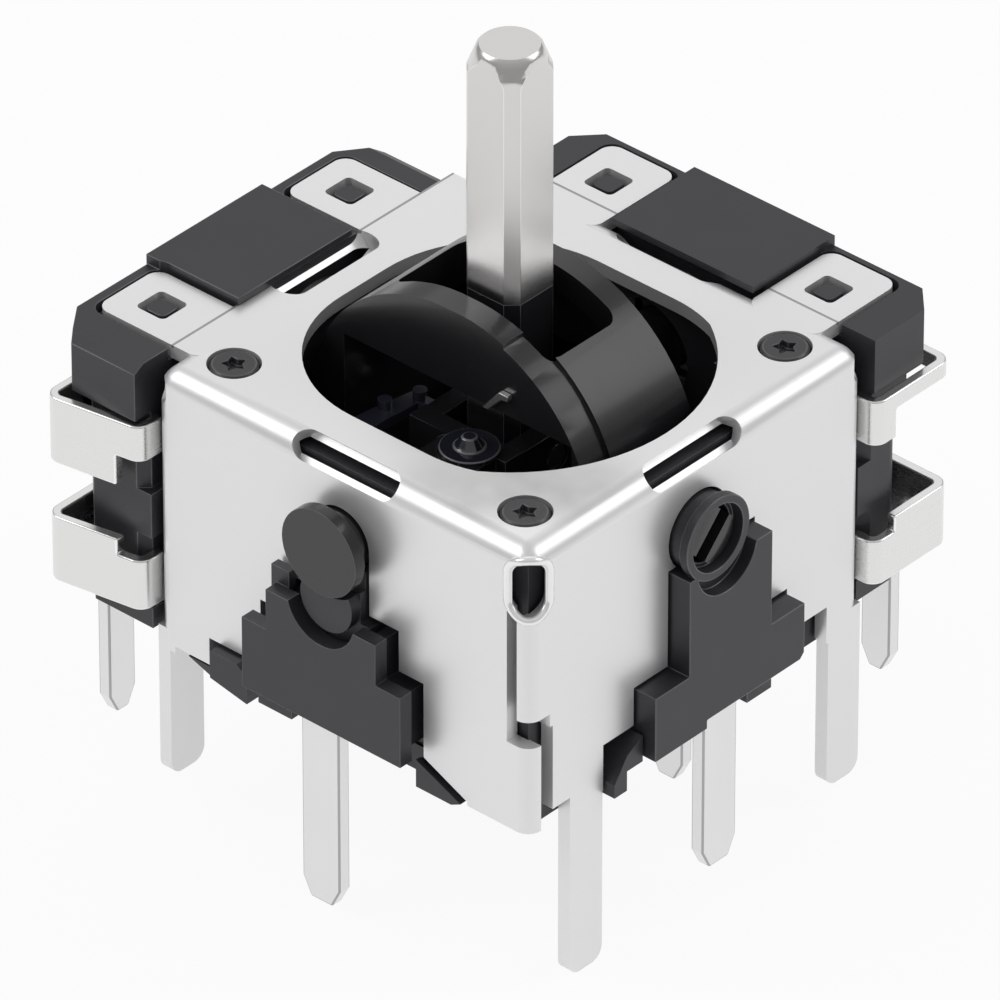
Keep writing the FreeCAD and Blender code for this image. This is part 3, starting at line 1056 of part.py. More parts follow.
def make_contact_plate():
    z = (f"{BRACKET_TOP} - bracket_metal", BRACKET_TOP)
    left, right, reach = f"-{BRACKET_LEFT}", f"(bracket_wide - {BRACKET_LEFT})", f"(bracket_reach - {BRACKET_LEFT})"
    turn = "-bracket_far - bracket_wide / 2"
    points = [(left, "-bracket_near"), (right, "-bracket_near"), (right, "-bracket_waist"), (f"{right} + metal / 4", turn),
              (reach, turn), (reach, "-bracket_far"), (f"{left} + metal", "-bracket_far"),
              (f"{left} + metal / 4", "-bracket_waist - metal / 2")]
    plate = prism("contact_plate_flat", "xy", points, z)
    places = {"near": (f"{left} + bracket_wide / 2", "-bracket_waist + metal"), "far": (right, "-bracket_far - metal / 2")}
    studs = []
    for name, place in places.items():
        span = (f"{z[1]} - bracket_metal / 2", f"{z[1]} + stud_height")
        studs.append(rod(f"contact_stud_{name}", "z", "stud_radius", span, place))
    node("contact_plate", joined("contact_plate_solid", plate, *studs))


# Sensors: one on the -X side and one on the +Y side, alike but for their place.


def end_slanted(side, name, along, out, slant_along, slant_out, z, inner_cut=None):
    """A straight bar along a sensor, its two outer corners slanted off, and its inner ones if asked."""
    low, high = along
    inner, outer = out
    points = [(low, f"{outer} - {slant_out}"), (f"{low} + {slant_along}", outer),
              (f"{high} - {slant_along}", outer), (high, f"{outer} - {slant_out}")]
    if inner_cut:
        points += [(high, f"{inner} + {inner_cut}"), (f"{high} - {inner_cut}", inner),
                   (f"{low} + {inner_cut}", inner), (low, f"{inner} + {inner_cut}")]
    else:
        points += [(high, inner), (low, inner)]
    if side == "left":
        points = [(f"-({y})", x) for x, y in points]
    return prism(name, "xy", points, z)


def end_bevel(name, end, sign):
    """The cutter for the shallow bevel on one end of the -X sensor's head."""
    top = "cover_top - head_sink"
    beyond = f"{end} + {sign} * metal"
    start = f"{end} - {sign} * end_bevel_along"
    points = [(end, f"{top} - end_bevel_fall"), (start, top), (start, f"{top} + 2 * metal"), (beyond, f"{top} + 2 * metal"),
              (beyond, f"{top} - end_bevel_fall")]
    return prism(name, "yz", points, ("-(left_face + left_depth + metal)", "-(left_face - metal)"))


def make_housing(side):
    """A sensor's moulded body, with the tray and pegs for the cover's ears."""
    face, centre = f"{side}_face", f"{side}_centre"
    low, high = f"{centre} - {side}_length / 2", f"{centre} + {side}_length / 2"
    top, sheet_low = "cover_top - head_sink", "cover_top - metal"
    reach = f"{face} + {side}_depth"
    slants = (f"{side}_head_slant", f"{side}_head_slant_out")
    head = end_slanted(side, f"{side}_head", (low, high), (face, reach), *slants, ("head_low", top))
    collar_out = (face, f"{face} + {side}_strap_out - strap_metal - loose")
    collar_z = (f"{side}_upper_band_low", "head_low + metal")
    lower_along = (f"{low} + lower_end", f"{high} - lower_end")
    lower_out = (face, f"{face} + {side}_lower_depth")
    lower_slants = (f"{side}_lower_slant", f"{side}_lower_slant")
    lower_z = ("sensor_low", "head_low + metal")
    lower = end_slanted(side, f"{side}_lower", lower_along, lower_out, *lower_slants, lower_z, "lower_cut")
    collar = end_slanted(side, f"{side}_collar", lower_along, collar_out, *slants, collar_z, "lower_cut")
    trays = []
    pegs = []
    for index, sign in enumerate((-1, 1)):
        place = f"({side}_ear_centre + {sign} * ({side}_ear_gap + ear_width) / 2)"
        along = (f"{place} - ear_width / 2 - tray_gap", f"{place} + ear_width / 2 + tray_gap")
        out = (f"{face} - metal", f"{face} + {side}_ear_reach + tray_gap")
        trays.append(sensor_box(side, f"{side}_tray_{index}", along, out, (sheet_low, "cover_top + cap_rise + metal"), "ear_corner"))
        middle = f"{face} + {side}_ear_hole"
        along = (f"{place} - ear_hole / 2", f"{place} + ear_hole / 2")
        out = (f"{middle} - ear_hole / 2", f"{middle} + ear_hole / 2")
        moat_z = (f"{sheet_low} - moat_depth", "cover_top + metal")
        trays.append(sensor_box(side, f"{side}_moat_{index}", along, out, moat_z, "hole_corner"))
        along = (f"{place} - peg_side / 2", f"{place} + peg_side / 2")
        out = (f"{middle} - peg_side / 2", f"{middle} + peg_side / 2")
        pegs.append(sensor_box(side, f"{side}_peg_{index}", along, out,
                               (f"{sheet_low} - 2 * metal", "cover_top - 0.08"), "hole_corner"))
    cap_along = (f"{centre} - {side}_cap_length / 2", f"{centre} + {side}_cap_length / 2")
    cap = sensor_box(side, f"{side}_cap", cap_along, (face, f"{reach} + 0.05"), ("head_low + metal", "cover_top + cap_rise"))
    brow = sensor_box(side, f"{side}_brow", cap_along, (f"{side}_cap_inner", reach), ("cover_top + play", "cover_top + cap_rise"))
    pad_out = (f"{face} - pad_reach", f"{face} + metal")
    pads = [
        sensor_box(side, f"{side}_pad_low", lower_along, pad_out, ("sensor_low", f"{side}_lower_band_low - loose")),
        sensor_box(side, f"{side}_pad_mid", lower_along, pad_out, (f"{side}_lower_band_high + loose", "gimbal_z - rotor_radius")),
    ]
    extras = []
    bevels = []
    tube_bores = []
    if side == "left":
        bevels = [end_bevel("left_bevel_low", low, -1), end_bevel("left_bevel_high", high, 1)]
    else:
        for index, place in enumerate((f"{lower_along[0]} + tube_radius", f"{lower_along[1]} - tube_radius")):
            centre_line = (place, f"{face} + tube_place")
            extras.append(rod(f"right_tube_{index}", "z", "tube_radius", ("sensor_low", "tube_top"), centre_line))
            tube_bores.append(rod(f"right_tube_bore_{index}", "z", "tube_bore", ("tube_top - 1.5", "tube_top + metal"), centre_line))
    shell = cut(f"{side}_tray_solid", joined(f"{side}_blank", head, cap, brow, lower, collar, *pads, *extras), *trays, *bevels, *tube_bores)
    solid = joined(f"{side}_housing_solid", shell, *pegs)
    bore = sensor_rod(side, f"{side}_bore", "rotor_radius + play", (f"{face} - metal", f"{face} + board_start + board_thick + play"))
    pin_holes = [sensor_pin(f"{side}_pin_hole_{i}", side, i - 1) for i in range(3)]
    node(f"{side}_sensor_housing", cut(f"{side}_housing_finished", solid, bore, *pin_holes))


def make_sensor(side):
    face = f"{side}_face"
    make_housing(side)
    rotor_span = (f"{face} + rotor_start", f"{face} + rotor_start + rotor_thick")
    rotor = sensor_rod(side, f"{side}_rotor_disc", "rotor_radius", rotor_span)
    groove = sensor_box(side, f"{side}_rotor_groove", ("-blade_thick / 2 - blade_gap", "blade_thick / 2 + blade_gap"),
                        (f"{face} + rotor_start - metal", f"{face} + blade_length + loose"),
                        ("gimbal_z - rotor_radius * 0.8", "gimbal_z + rotor_radius * 0.8"))
    node(f"{side}_rotor", cut(f"{side}_rotor_finished", rotor, groove))
    wiper_end = f"{rotor_span[1]} + wiper_thick"
    ring = sensor_rod(side, f"{side}_wiper_disc", "wiper_radius", (rotor_span[1], wiper_end))
    middle = sensor_rod(side, f"{side}_wiper_middle", "wiper_radius / 2", (f"{rotor_span[1]} - metal", f"{wiper_end} + metal"))
    node(f"{side}_wiper", cut(f"{side}_wiper_finished", ring, middle))
    board_span = (f"{face} + board_start", f"{face} + board_start + board_thick")
    node(f"{side}_element_board", sensor_rod(side, f"{side}_board_disc", "rotor_radius", board_span))
    for index, place in enumerate(("low", "middle", "high")):
        node(f"{side}_terminal_{place}", sensor_pin(f"{side}_pin_{place}", side, index - 1))
    for kind in ("upper", "lower"):
        make_strap(side, kind)


def make_strap(side, kind):
    """A metal band round the outside of a sensor, hooked in behind it at both ends."""
    label = f"{side}_{kind}_strap"
    face, centre, slant = f"{side}_face", f"{side}_centre", f"{side}_strap_slant"
    inner = f"({face} - strap_metal)"
    outer = f"({face} + {side}_strap_out)"
    reach = f"({side}_length / 2 + play + strap_metal)"
    band_low, band_high = f"{label[:-6]}_band_low", f"{label[:-6]}_band_high"
    hook_low, hook_high = f"{label[:-6]}_hook_low", f"{label[:-6]}_hook_high"
    lowest = min((band_low, hook_low), key=number)
    highest = max((band_high, hook_high), key=number)

    def outline(shrink):
        low, high = f"{centre} - {reach} + {shrink}", f"{centre} + {reach} - {shrink}"
        near, far = f"{inner} + {shrink}", f"{outer} - {shrink}"
        points = [(f"{low} + {slant} / 2", near), (f"{low} - {slant} / 2", far), (f"{high} + {slant} / 2", far),
                  (f"{high} - {slant} / 2", near)]
        return points if side == "right" else [(f"-({out})", along) for along, out in points]

    def filled(name, shrink, low, high, radius):
        body = new_body(name)
        plan = new_sketch(body, f"{name}_plan", "xy", low)
        draw(plan, outline(shrink))
        band = pad(body, f"{name}_pad", plan, f"{high} - ({low})")
        round_edges(body, f"{name}_bends", band, radius, upright)
        return body

    band = filled(label, "0", lowest, highest, "strap_bend")
    core = filled(f"{label}_core", "strap_metal", f"{lowest} - metal", f"{highest} + metal", "strap_bend - strap_metal")
    ends = (f"{centre} - {reach} - {slant}", f"{centre} + {reach} + {slant}")
    between = (f"{centre} - {reach} + strap_hook + {slant} / 2", f"{centre} + {reach} - strap_hook - {slant} / 2")
    behind = (f"{inner} - metal", f"{inner} + strap_metal + play")
    inside = (f"{inner} - metal", f"{face} + hook_reach")
    outside = (f"{face} + hook_reach", f"{outer} + metal")
    trims = [core, sensor_box(side, f"{label}_opening", between, behind, (f"{lowest} - metal", f"{highest} + metal"))]
    spans = {
        "hook_under": (inside, lowest, hook_low), "hook_over": (inside, hook_high, highest),
        "band_under": (outside, lowest, band_low), "band_over": (outside, band_high, highest),
    }
    for name, (out, start, end) in spans.items():
        if number(end) > number(start):
            low = f"{start} - metal" if start == lowest else start
            high = f"{end} + metal" if end == highest else end
            trims.append(sensor_box(side, f"{label}_{name}", ends, out, (low, high)))
    node(label, cut(f"{label}_finished", band, *trims))


make_cover()
make_base()
make_screws()
make_switch_terminals()
make_switch()
make_side_bearing()
make_arch()
make_rocker()
make_stick()
make_spring()
make_contact_plate()
make_sensor("left")
make_sensor("right")
doc.recompute()

for item in doc.Objects:
    if "Invalid" in item.State or "Error" in item.State:
        raise RuntimeError(f"{item.Label} did not recompute: {item.State}")
labels = [item.Label for item in nodes]
if len(set(labels)) != len(labels):
    raise RuntimeError("two sub-parts share a name")
for item in nodes:
    if item.Shape.isNull() or not item.Shape.isValid() or not item.Shape.Solids:
        raise RuntimeError(f"{item.Label} has no valid solid")

os.makedirs("parts", exist_ok=True)
for item in nodes:
    item.Shape.exportStep(f"parts/{item.Label}.step")
    print(f"{item.Label}: {len(item.Shape.Solids)} solid, {item.Shape.Volume:.3f} mm3")
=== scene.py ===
"""A thumbstick module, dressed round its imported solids, on a pale studio floor."""

import json
import math

import bmesh
import bpy
from mathutils import Matrix, Vector


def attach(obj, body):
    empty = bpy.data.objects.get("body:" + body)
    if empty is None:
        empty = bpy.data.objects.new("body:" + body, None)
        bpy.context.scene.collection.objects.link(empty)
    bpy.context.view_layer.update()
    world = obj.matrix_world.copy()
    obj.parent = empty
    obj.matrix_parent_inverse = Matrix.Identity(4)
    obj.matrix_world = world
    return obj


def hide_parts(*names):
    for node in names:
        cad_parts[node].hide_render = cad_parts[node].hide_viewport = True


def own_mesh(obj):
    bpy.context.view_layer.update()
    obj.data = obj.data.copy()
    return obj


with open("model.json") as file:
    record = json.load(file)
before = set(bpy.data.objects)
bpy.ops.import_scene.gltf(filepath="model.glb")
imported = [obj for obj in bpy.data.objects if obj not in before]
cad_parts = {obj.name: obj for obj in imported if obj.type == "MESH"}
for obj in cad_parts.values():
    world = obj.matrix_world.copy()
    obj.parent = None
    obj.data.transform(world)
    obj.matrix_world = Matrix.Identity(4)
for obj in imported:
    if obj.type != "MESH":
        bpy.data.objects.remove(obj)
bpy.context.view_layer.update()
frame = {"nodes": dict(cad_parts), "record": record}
MM = 0.001
MM_PER_METRE = 1000.0


# Shader arithmetic, and one maker for every shader node.


class Value:
    """One shader value; arithmetic on it adds Math nodes to its tree."""

    def __init__(self, shading, socket):
        self.shading = shading
        self.socket = socket

    def _math(self, operation, first, second):
        return self.shading.node("ShaderNodeMath", {0: first, 1: second}, operation=operation)

    def __add__(self, other):
        return self._math("ADD", self, other)

    def __radd__(self, other):
        return self._math("ADD", other, self)

    def __sub__(self, other):
        return self._math("SUBTRACT", self, other)

    def __rsub__(self, other):
        return self._math("SUBTRACT", other, self)

    def __mul__(self, other):
        return self._math("MULTIPLY", self, other)

    def __rmul__(self, other):
        return self._math("MULTIPLY", other, self)

    def above(self, limit):
        """1 where the value is over the limit, 0 elsewhere."""
        return self._math("GREATER_THAN", self, limit)

    def below(self, limit):
        """1 where the value is under the limit, 0 elsewhere."""
        return self._math("LESS_THAN", self, limit)

    def larger(self, other):
        return self._math("MAXIMUM", self, other)

    def clamped(self):
        """The value, kept between 0 and 1."""
        return self.shading.node("ShaderNodeMath", {0: self, 1: 0.0}, operation="ADD", use_clamp=True)


class Shading:
    """A shader node tree, and the one method that makes its nodes."""

    def __init__(self, tree):
        self.tree = tree

    def node(self, kind, inputs=None, output=0, stops=(), **settings):
        """Makes a node: first its settings and a ramp's stops, then its sockets' values or links."""
        made = self.tree.nodes.new(kind)
        for key, value in settings.items():
            setattr(made, key, value)
        for index, (position, colour) in enumerate(stops):
            made.color_ramp.elements[index].position = position
            made.color_ramp.elements[index].color = (*colour, 1.0)
        for key, value in (inputs or {}).items():
            self.join(made.inputs[key], value)
        return Value(self, made.outputs[output])

    def join(self, socket, value):
        """Links a value to a socket, or sets the socket's own number, vector or colour."""
        if isinstance(value, Value):
            self.tree.links.new(value.socket, socket)
        elif hasattr(value, "__len__") and len(value) < len(socket.default_value):
            socket.default_value = (*value, 1.0)
        else:
            socket.default_value = value

    def end_in(self, kind, surface):
        """Ends the tree in its output node."""
        self.join(self.tree.nodes.new(kind).inputs["Surface"], surface)


class Paint(Shading):
    """A material round one Principled shader, with patterns in the object's own millimetres."""

    def __init__(self, name, **constants):
        self.material = bpy.data.materials.new(name)
        self.material.use_nodes = True
        super().__init__(self.material.node_tree)
        self.shader = self.tree.nodes["Principled BSDF"]
        for socket, value in constants.items():
            self.set(socket.replace("_", " "), value)

    def set(self, name, value):
        """Sets or links one socket of the shader."""
        self.join(self.shader.inputs[name], value)

    def place(self):
        """The point on the object, in millimetres."""
        here = self.node("ShaderNodeTexCoord", output="Object")
        return self.node("ShaderNodeVectorMath", {0: here, "Scale": MM_PER_METRE}, operation="SCALE")

    def axis(self, letter):
        """One coordinate of the point, in millimetres."""
        return self.node("ShaderNodeSeparateXYZ", {0: self.place()}, output=letter.upper())

    def noise(self, scale, detail, seed):
        """Soft noise with a number of lumps per millimetre along each axis."""
        spread = self.node("ShaderNodeMapping", {
            "Vector": self.place(), "Location": (seed, seed * 2, seed * 3), "Scale": scale})
        return self.node("ShaderNodeTexNoise", {
            "Vector": spread, "Scale": 1.0, "Detail": detail, "Roughness": 0.5})

    def mix(self, amount, first, second):
        """A colour between two, by an amount; the node has one set of sockets for each type."""
        return self.node("ShaderNodeMix", {0: amount, 6: first, 7: second}, output=2, data_type="RGBA")

    def bump(self, height, depth, strength):
        """Feeds the surface's normal from a height, with its depth in millimetres."""
        raised = self.node("ShaderNodeBump", {
            "Height": height, "Strength": strength, "Distance": depth * MM})
        self.set("Normal", raised)


# Finishes of the sheet, the pins and the mouldings.

GLOSS_DRIFT = 0.04
COAT_ROUGHNESS = 0.08
PLASTIC_SPREAD = 1.15
ON_COVER_TOP = 10.9


def shade(colour, share):
    """A colour made darker or lighter by a share."""
    return tuple(min(1.0, part * share) for part in colour)


def satin_sheet(name, colour, rough, lines, streak=0.05, metal=1.0, painted_shade_masks=()):
    """Plated sheet: fine rolled lines along one direction and a little cloudiness."""
    paint = Paint(name, Metallic=metal)
    grain = paint.noise(lines, 3.0, 1.3)
    cloud = paint.noise((0.22, 0.22, 0.22), 2.0, 4.1)
    tone = paint.mix(grain * 0.4 + cloud * 0.6, shade(colour, 1 - streak), colour)
    # Painted shade: each mask darkens the sheet's colour by its share.
    for painted_shade_mask, share in painted_shade_masks:
        tone = paint.mix(painted_shade_mask(paint), tone, shade(colour, share))
    paint.set("Base Color", tone)
    paint.set("Roughness", rough - GLOSS_DRIFT + grain * GLOSS_DRIFT + cloud * GLOSS_DRIFT)
    paint.bump(grain, 0.0004, 0.3)
    return paint.material


def moulded(name, colour, rough, grain_depth=0.003, coat=0.0):
    """Moulded plastic: fine spark-eroded grain and slight unevenness in gloss."""
    paint = Paint(name, Coat_Weight=coat, Coat_Roughness=COAT_ROUGHNESS)
    grain = paint.noise((16, 16, 16), 2.0, 2.2)
    cloud = paint.noise((0.6, 0.6, 0.6), 2.0, 7.7)
    dark, light = shade(colour, 1 / PLASTIC_SPREAD), shade(colour, PLASTIC_SPREAD)
    paint.set("Base Color", paint.mix(grain * 0.6 + cloud * 0.4, dark, light))
    paint.set("Roughness", rough - GLOSS_DRIFT + cloud * (2 * GLOSS_DRIFT))
    paint.bump(grain, grain_depth, 0.5)
    return paint.material


def ear_root_painted_shade(paint):
    """Painted shade: a dark line along the pressed crease across each ear's root, on the cover's top.
    """
    root, half = 8.36, 0.05
    over = paint.axis("z").above(ON_COVER_TOP)
    left = paint.axis("x").above(-root - half) * paint.axis("x").below(-root + half)
    right = paint.axis("y").above(root - half) * paint.axis("y").below(root + half)
    return (over * (left + right)).clamped()


def painted_corner_shade(paint):
    """Painted shade: a darker patch on the top, between the opening and the front corner, standing in
    for a dimmer reflection.
    """
    middle, end_fade, side_fade, strength = 10.8, 0.11, 0.025, 1.5
    along = paint.axis("x") - paint.axis("y")
    across = paint.axis("x") + paint.axis("y")
    near = (1.0 - (along - middle) * (along - middle) * end_fade).clamped()
    narrow = (1.0 - across * across * side_fade).clamped()
    patches = paint.noise((0.5, 0.5, 0.5), 2.0, 3.3)
    return near * narrow * paint.axis("z").above(ON_COVER_TOP) * patches * strength


# Painted shade on the cover: a darker patch near the front corner, and a dark line at each ear's root.
COVER_PAINTED_SHADES = ((painted_corner_shade, 0.62), (ear_root_painted_shade, 0.42))
FINISH = {
    "cover": satin_sheet(
        "cover_satin", (0.88, 0.88, 0.88), 0.36, (0.5, 0.5, 9.0), 0.04, 0.6, COVER_PAINTED_SHADES),
    # The edge finishes are lighter copies that paint highlights on rounded edges.
    "cover_edge_highlight": satin_sheet("cover_edge_highlight", (0.97, 0.97, 0.97), 0.24, (2.0, 2.0, 2.0), 0.02, 0.6),
    "strap": satin_sheet("strap_bright", (0.80, 0.80, 0.79), 0.27, (0.4, 0.4, 10.0)),
    "pin": satin_sheet("pin_tin", (0.82, 0.82, 0.82), 0.25, (1.5, 1.5, 0.15), 0.10, 0.9),
    # The pins' edge finish is a darker copy that paints shade on their rounded edges.
    "pin_edge_shade": satin_sheet("pin_edge_shade", (0.42, 0.42, 0.42), 0.3, (1.5, 1.5, 0.15), 0.05, 0.9),
    "metal_edge_highlight": satin_sheet("metal_edge_highlight", (0.95, 0.95, 0.94), 0.20, (2.0, 2.0, 2.0), 0.02, 0.9),
    "shaft": satin_sheet("shaft_drawn", (0.70, 0.69, 0.68), 0.26, (2.0, 2.0, 0.1), 0.03),
    "black": moulded("black_moulded", (0.026, 0.027, 0.031), 0.44),
    "black_edge_highlight": moulded("black_edge_highlight", (0.085, 0.088, 0.095), 0.24, 0.001, coat=0.4),
    "gimbal": moulded("gimbal_smooth", (0.014, 0.014, 0.016), 0.26, 0.001, coat=0.15),
    "gimbal_edge_highlight": moulded("gimbal_edge_highlight", (0.13, 0.13, 0.135), 0.16, 0.001, coat=0.8),
    "screw": moulded("screw_black", (0.03, 0.03, 0.032), 0.35, 0.002),
    "rivet": moulded("rivet_gloss", (0.018, 0.020, 0.028), 0.12, 0.001, coat=1.0),
    "white": moulded("disc_acetal", (0.72, 0.71, 0.68), 0.45),
    "board": moulded("element_board", (0.25, 0.16, 0.07), 0.5),
    "brass": satin_sheet("contact_brass", (0.75, 0.6, 0.32), 0.3, (8.0, 8.0, 8.0)),
    "plate": moulded("contact_dark", (0.045, 0.048, 0.07), 0.22, coat=0.6),
}
# Each finish's rounded edges take a copy with painted highlight; the pins' edges take one with painted
# shade.
PAINTED_EDGE_LIGHT_OF_FINISH = {
    "cover": "cover_edge_highlight", "strap": "metal_edge_highlight", "pin": "pin_edge_shade", "shaft": "metal_edge_highlight",
    "black": "black_edge_highlight", "gimbal": "gimbal_edge_highlight", "screw": "black_edge_highlight", "plate": "black_edge_highlight",
    "rivet": "gimbal_edge_highlight",
}


# Pieces: a bevelled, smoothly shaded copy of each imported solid.

SAME_POINT = 0.002 * MM
FLAT_ANGLE = math.radians(0.6)
SMOOTH_ANGLE = math.radians(38)
ROUNDED_ANGLE = math.radians(32)
ROUNDING_SEGMENTS = 3
FLAT_FACE_WEIGHT = 80

body_of_node = {
    node: body
    for body, held in frame["record"]["behaviour"]["bodies"].items()
    for node in held
}


def new_piece(name, data):
    """A new object in the scene, unturned and unscaled at the origin."""
    piece = bpy.data.objects.new(name, data)
    bpy.context.scene.collection.objects.link(piece)
    return piece


def clean_copy(node):
    """A merged copy of a node's mesh, with its flat faces whole."""
    work = bmesh.new()
    work.from_mesh(frame["nodes"][node].data)
    bmesh.ops.remove_doubles(work, verts=work.verts, dist=SAME_POINT)
    bmesh.ops.dissolve_limit(work, angle_limit=FLAT_ANGLE, verts=work.verts, edges=work.edges)
    mesh = bpy.data.meshes.new(f"{node}_skin")
    work.to_mesh(mesh)
    work.free()
    return mesh


def plain_mesh(piece):
    """The mesh that a piece with modifiers, or a curve, comes to."""
    graph = bpy.context.evaluated_depsgraph_get()
    return bpy.data.meshes.new_from_object(piece.evaluated_get(graph))


def settle(piece):
    """Turns the piece's modifiers into plain mesh."""
    mesh = plain_mesh(piece)
    piece.modifiers.clear()
    piece.data = mesh
    return piece


def round_edges(piece, finish, edge):
    """Gives the piece its two finishes and rounds its edges, which take the second: a copy of the
    first with painted highlight (painted shade on pins).
    """
    piece.data.materials.clear()
    piece.data.materials.append(FINISH[finish])
    piece.data.materials.append(FINISH[PAINTED_EDGE_LIGHT_OF_FINISH.get(finish, finish)])
    piece.data.shade_smooth()
    piece.data.set_sharp_from_angle(angle=SMOOTH_ANGLE)
    if edge:
        rounding = piece.modifiers.new("edges", "BEVEL")
        rounding.width = edge * MM
        rounding.segments = ROUNDING_SEGMENTS
        rounding.limit_method = "ANGLE"
        rounding.angle_limit = ROUNDED_ANGLE
        rounding.use_clamp_overlap = True
        rounding.miter_outer = "MITER_ARC"
        rounding.material = 1
    flat = piece.modifiers.new("flat_faces", "WEIGHTED_NORMAL")
    flat.keep_sharp = True
    flat.weight = FLAT_FACE_WEIGHT
    return settle(piece)


def dress(node, finish, edge):
    """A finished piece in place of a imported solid: its edges rounded and its curves smooth."""
    piece = round_edges(new_piece(f"{node}_finished", clean_copy(node)), finish, edge)
    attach(piece, body_of_node[node])
    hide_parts(node)
    return piece


# The finish of each solid, and the width of its rounded edges in millimetres.
FINISH_OF_NODE = {
    "cover": ("cover", 0.07),
    "base": ("black", 0.06),
    "switch_housing": ("black", 0.07),
    "switch_plunger": ("black", 0.06),
    "side_bearing": ("black", 0.07),
    "upper_arch": ("gimbal", 0.14),
    "lower_rocker": ("gimbal", 0.08),
    "stick_body": ("gimbal", 0.06),
    "rocker_rivet": ("rivet", 0.05),
    "contact_plate": ("plate", 0.04),
    "arch_wire_leg": ("pin", 0.03),
    "stick_shaft": ("shaft", 0.05),
    "pivot_pin": ("shaft", 0.04),
    "centring_disc": ("white", 0.05),
    "switch_dome": ("pin", 0.0),
    "left_sensor_housing": ("black", 0.09),
    "right_sensor_housing": ("black", 0.09),
}
FINISH_OF_ENDING = {
    "front_terminal": ("pin", 0.06),
    "side_terminal": ("pin", 0.06),
    "inner_terminal": ("pin", 0.06),
    "_strap": ("strap", 0.06),
    "_rotor": ("white", 0.05),
    "_wiper": ("brass", 0.03),
    "_board": ("board", 0.04),
}
for node in frame["nodes"]:
    for ending, look in FINISH_OF_ENDING.items():
        if node.endswith(ending):
            FINISH_OF_NODE[node] = look

dressed = {node: dress(node, finish, edge) for node, (finish, edge) in FINISH_OF_NODE.items()}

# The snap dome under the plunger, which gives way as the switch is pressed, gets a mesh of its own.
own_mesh(dressed["switch_dome"])


# Repeated pieces: Geometry Nodes trees with named sizes, turned into plain meshes.


class Repeat:
    """A Geometry Nodes tree that ends in Realize Instances and Set Material."""

    def __init__(self, name, **sizes):
        self.tree = bpy.data.node_groups.new(name, "GeometryNodeTree")
        for way in ("OUTPUT", "INPUT"):
            self.tree.interface.new_socket(
                "Geometry", in_out=way, socket_type="NodeSocketGeometry")
        for size, value in sizes.items():
            kind = {float: "Float", tuple: "Vector"}[type(value)]
            made = self.tree.interface.new_socket(
                size, in_out="INPUT", socket_type=f"NodeSocket{kind}")
            made.default_value = value
        self.given = self.tree.nodes.new("NodeGroupInput").outputs

    def node(self, kind, inputs, **settings):
        """Makes a node: first its settings, then its sockets' values or links."""
        made = self.tree.nodes.new(kind)
        for key, value in settings.items():
            setattr(made, key, value)
        for key, value in inputs.items():
            if isinstance(value, bpy.types.NodeSocket):
                self.tree.links.new(value, made.inputs[key])
            else:
                made.inputs[key].default_value = value
        return made.outputs[0]

    def scaled(self, size, share):
        """A share of one of the tree's vector sizes."""
        return self.node(
            "ShaderNodeVectorMath", {0: self.given[size], "Scale": share}, operation="SCALE")

    def finish(self, geometry, material):
        """Ends the tree in plain geometry with one material."""
        real = self.node("GeometryNodeRealizeInstances", {0: geometry})
        painted = self.node("GeometryNodeSetMaterial", {0: real, "Material": material})
        self.tree.links.new(painted, self.tree.nodes.new("NodeGroupOutput").inputs[0])

    def bake(self, piece):
        """Puts the tree's result in the piece, as plain mesh."""
        piece.modifiers.new("repeat", "NODES").node_group = self.tree
        return settle(piece)


def middle_of(node):
    """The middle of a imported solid's box."""
    corners = [Vector(corner) for corner in frame["nodes"][node].bound_box]
    return (Vector(map(min, *corners)) + Vector(map(max, *corners))) / 2


def copies(name, pattern_of, pattern_node, places, finish, edge):
    """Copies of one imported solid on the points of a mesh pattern, in place of several solids."""
    first, last = middle_of(places[0]), middle_of(places[-1])
    mesh = clean_copy(pattern_of)
    mesh.transform(Matrix.Translation(-middle_of(pattern_of)))
    tree = Repeat(f"{name}_copies", Centre=tuple((last + first) / 2), Reach=tuple(last - first))
    moved = tree.node("GeometryNodeTransform", {
        0: pattern_node(tree, len(places)), "Translation": tree.given["Centre"]})
    placed = tree.node("GeometryNodeInstanceOnPoints", {
        "Points": moved, "Instance": tree.given["Geometry"]})
    tree.finish(placed, FINISH[finish])
    piece = round_edges(tree.bake(new_piece(name, mesh)), finish, edge)
    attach(piece, body_of_node[pattern_of])
    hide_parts(*places)


def grid_points(tree, count):
    """Points in two rows, with the first and the last at opposite corners of the reach."""
    spread = tree.node("ShaderNodeSeparateXYZ", {0: tree.given["Reach"]}).node.outputs
    return tree.node("GeometryNodeMeshGrid", {
        "Size X": spread[0], "Size Y": spread[1], "Vertices X": count // 2, "Vertices Y": 2})


def row_points(tree, count):
    """Points in a row, from one end to the other of the reach."""
    return tree.node("GeometryNodeMeshLine", {
        "Count": count, "Start Location": tree.scaled("Reach", -0.5),
        "Offset": tree.scaled("Reach", 1 / (count - 1))})


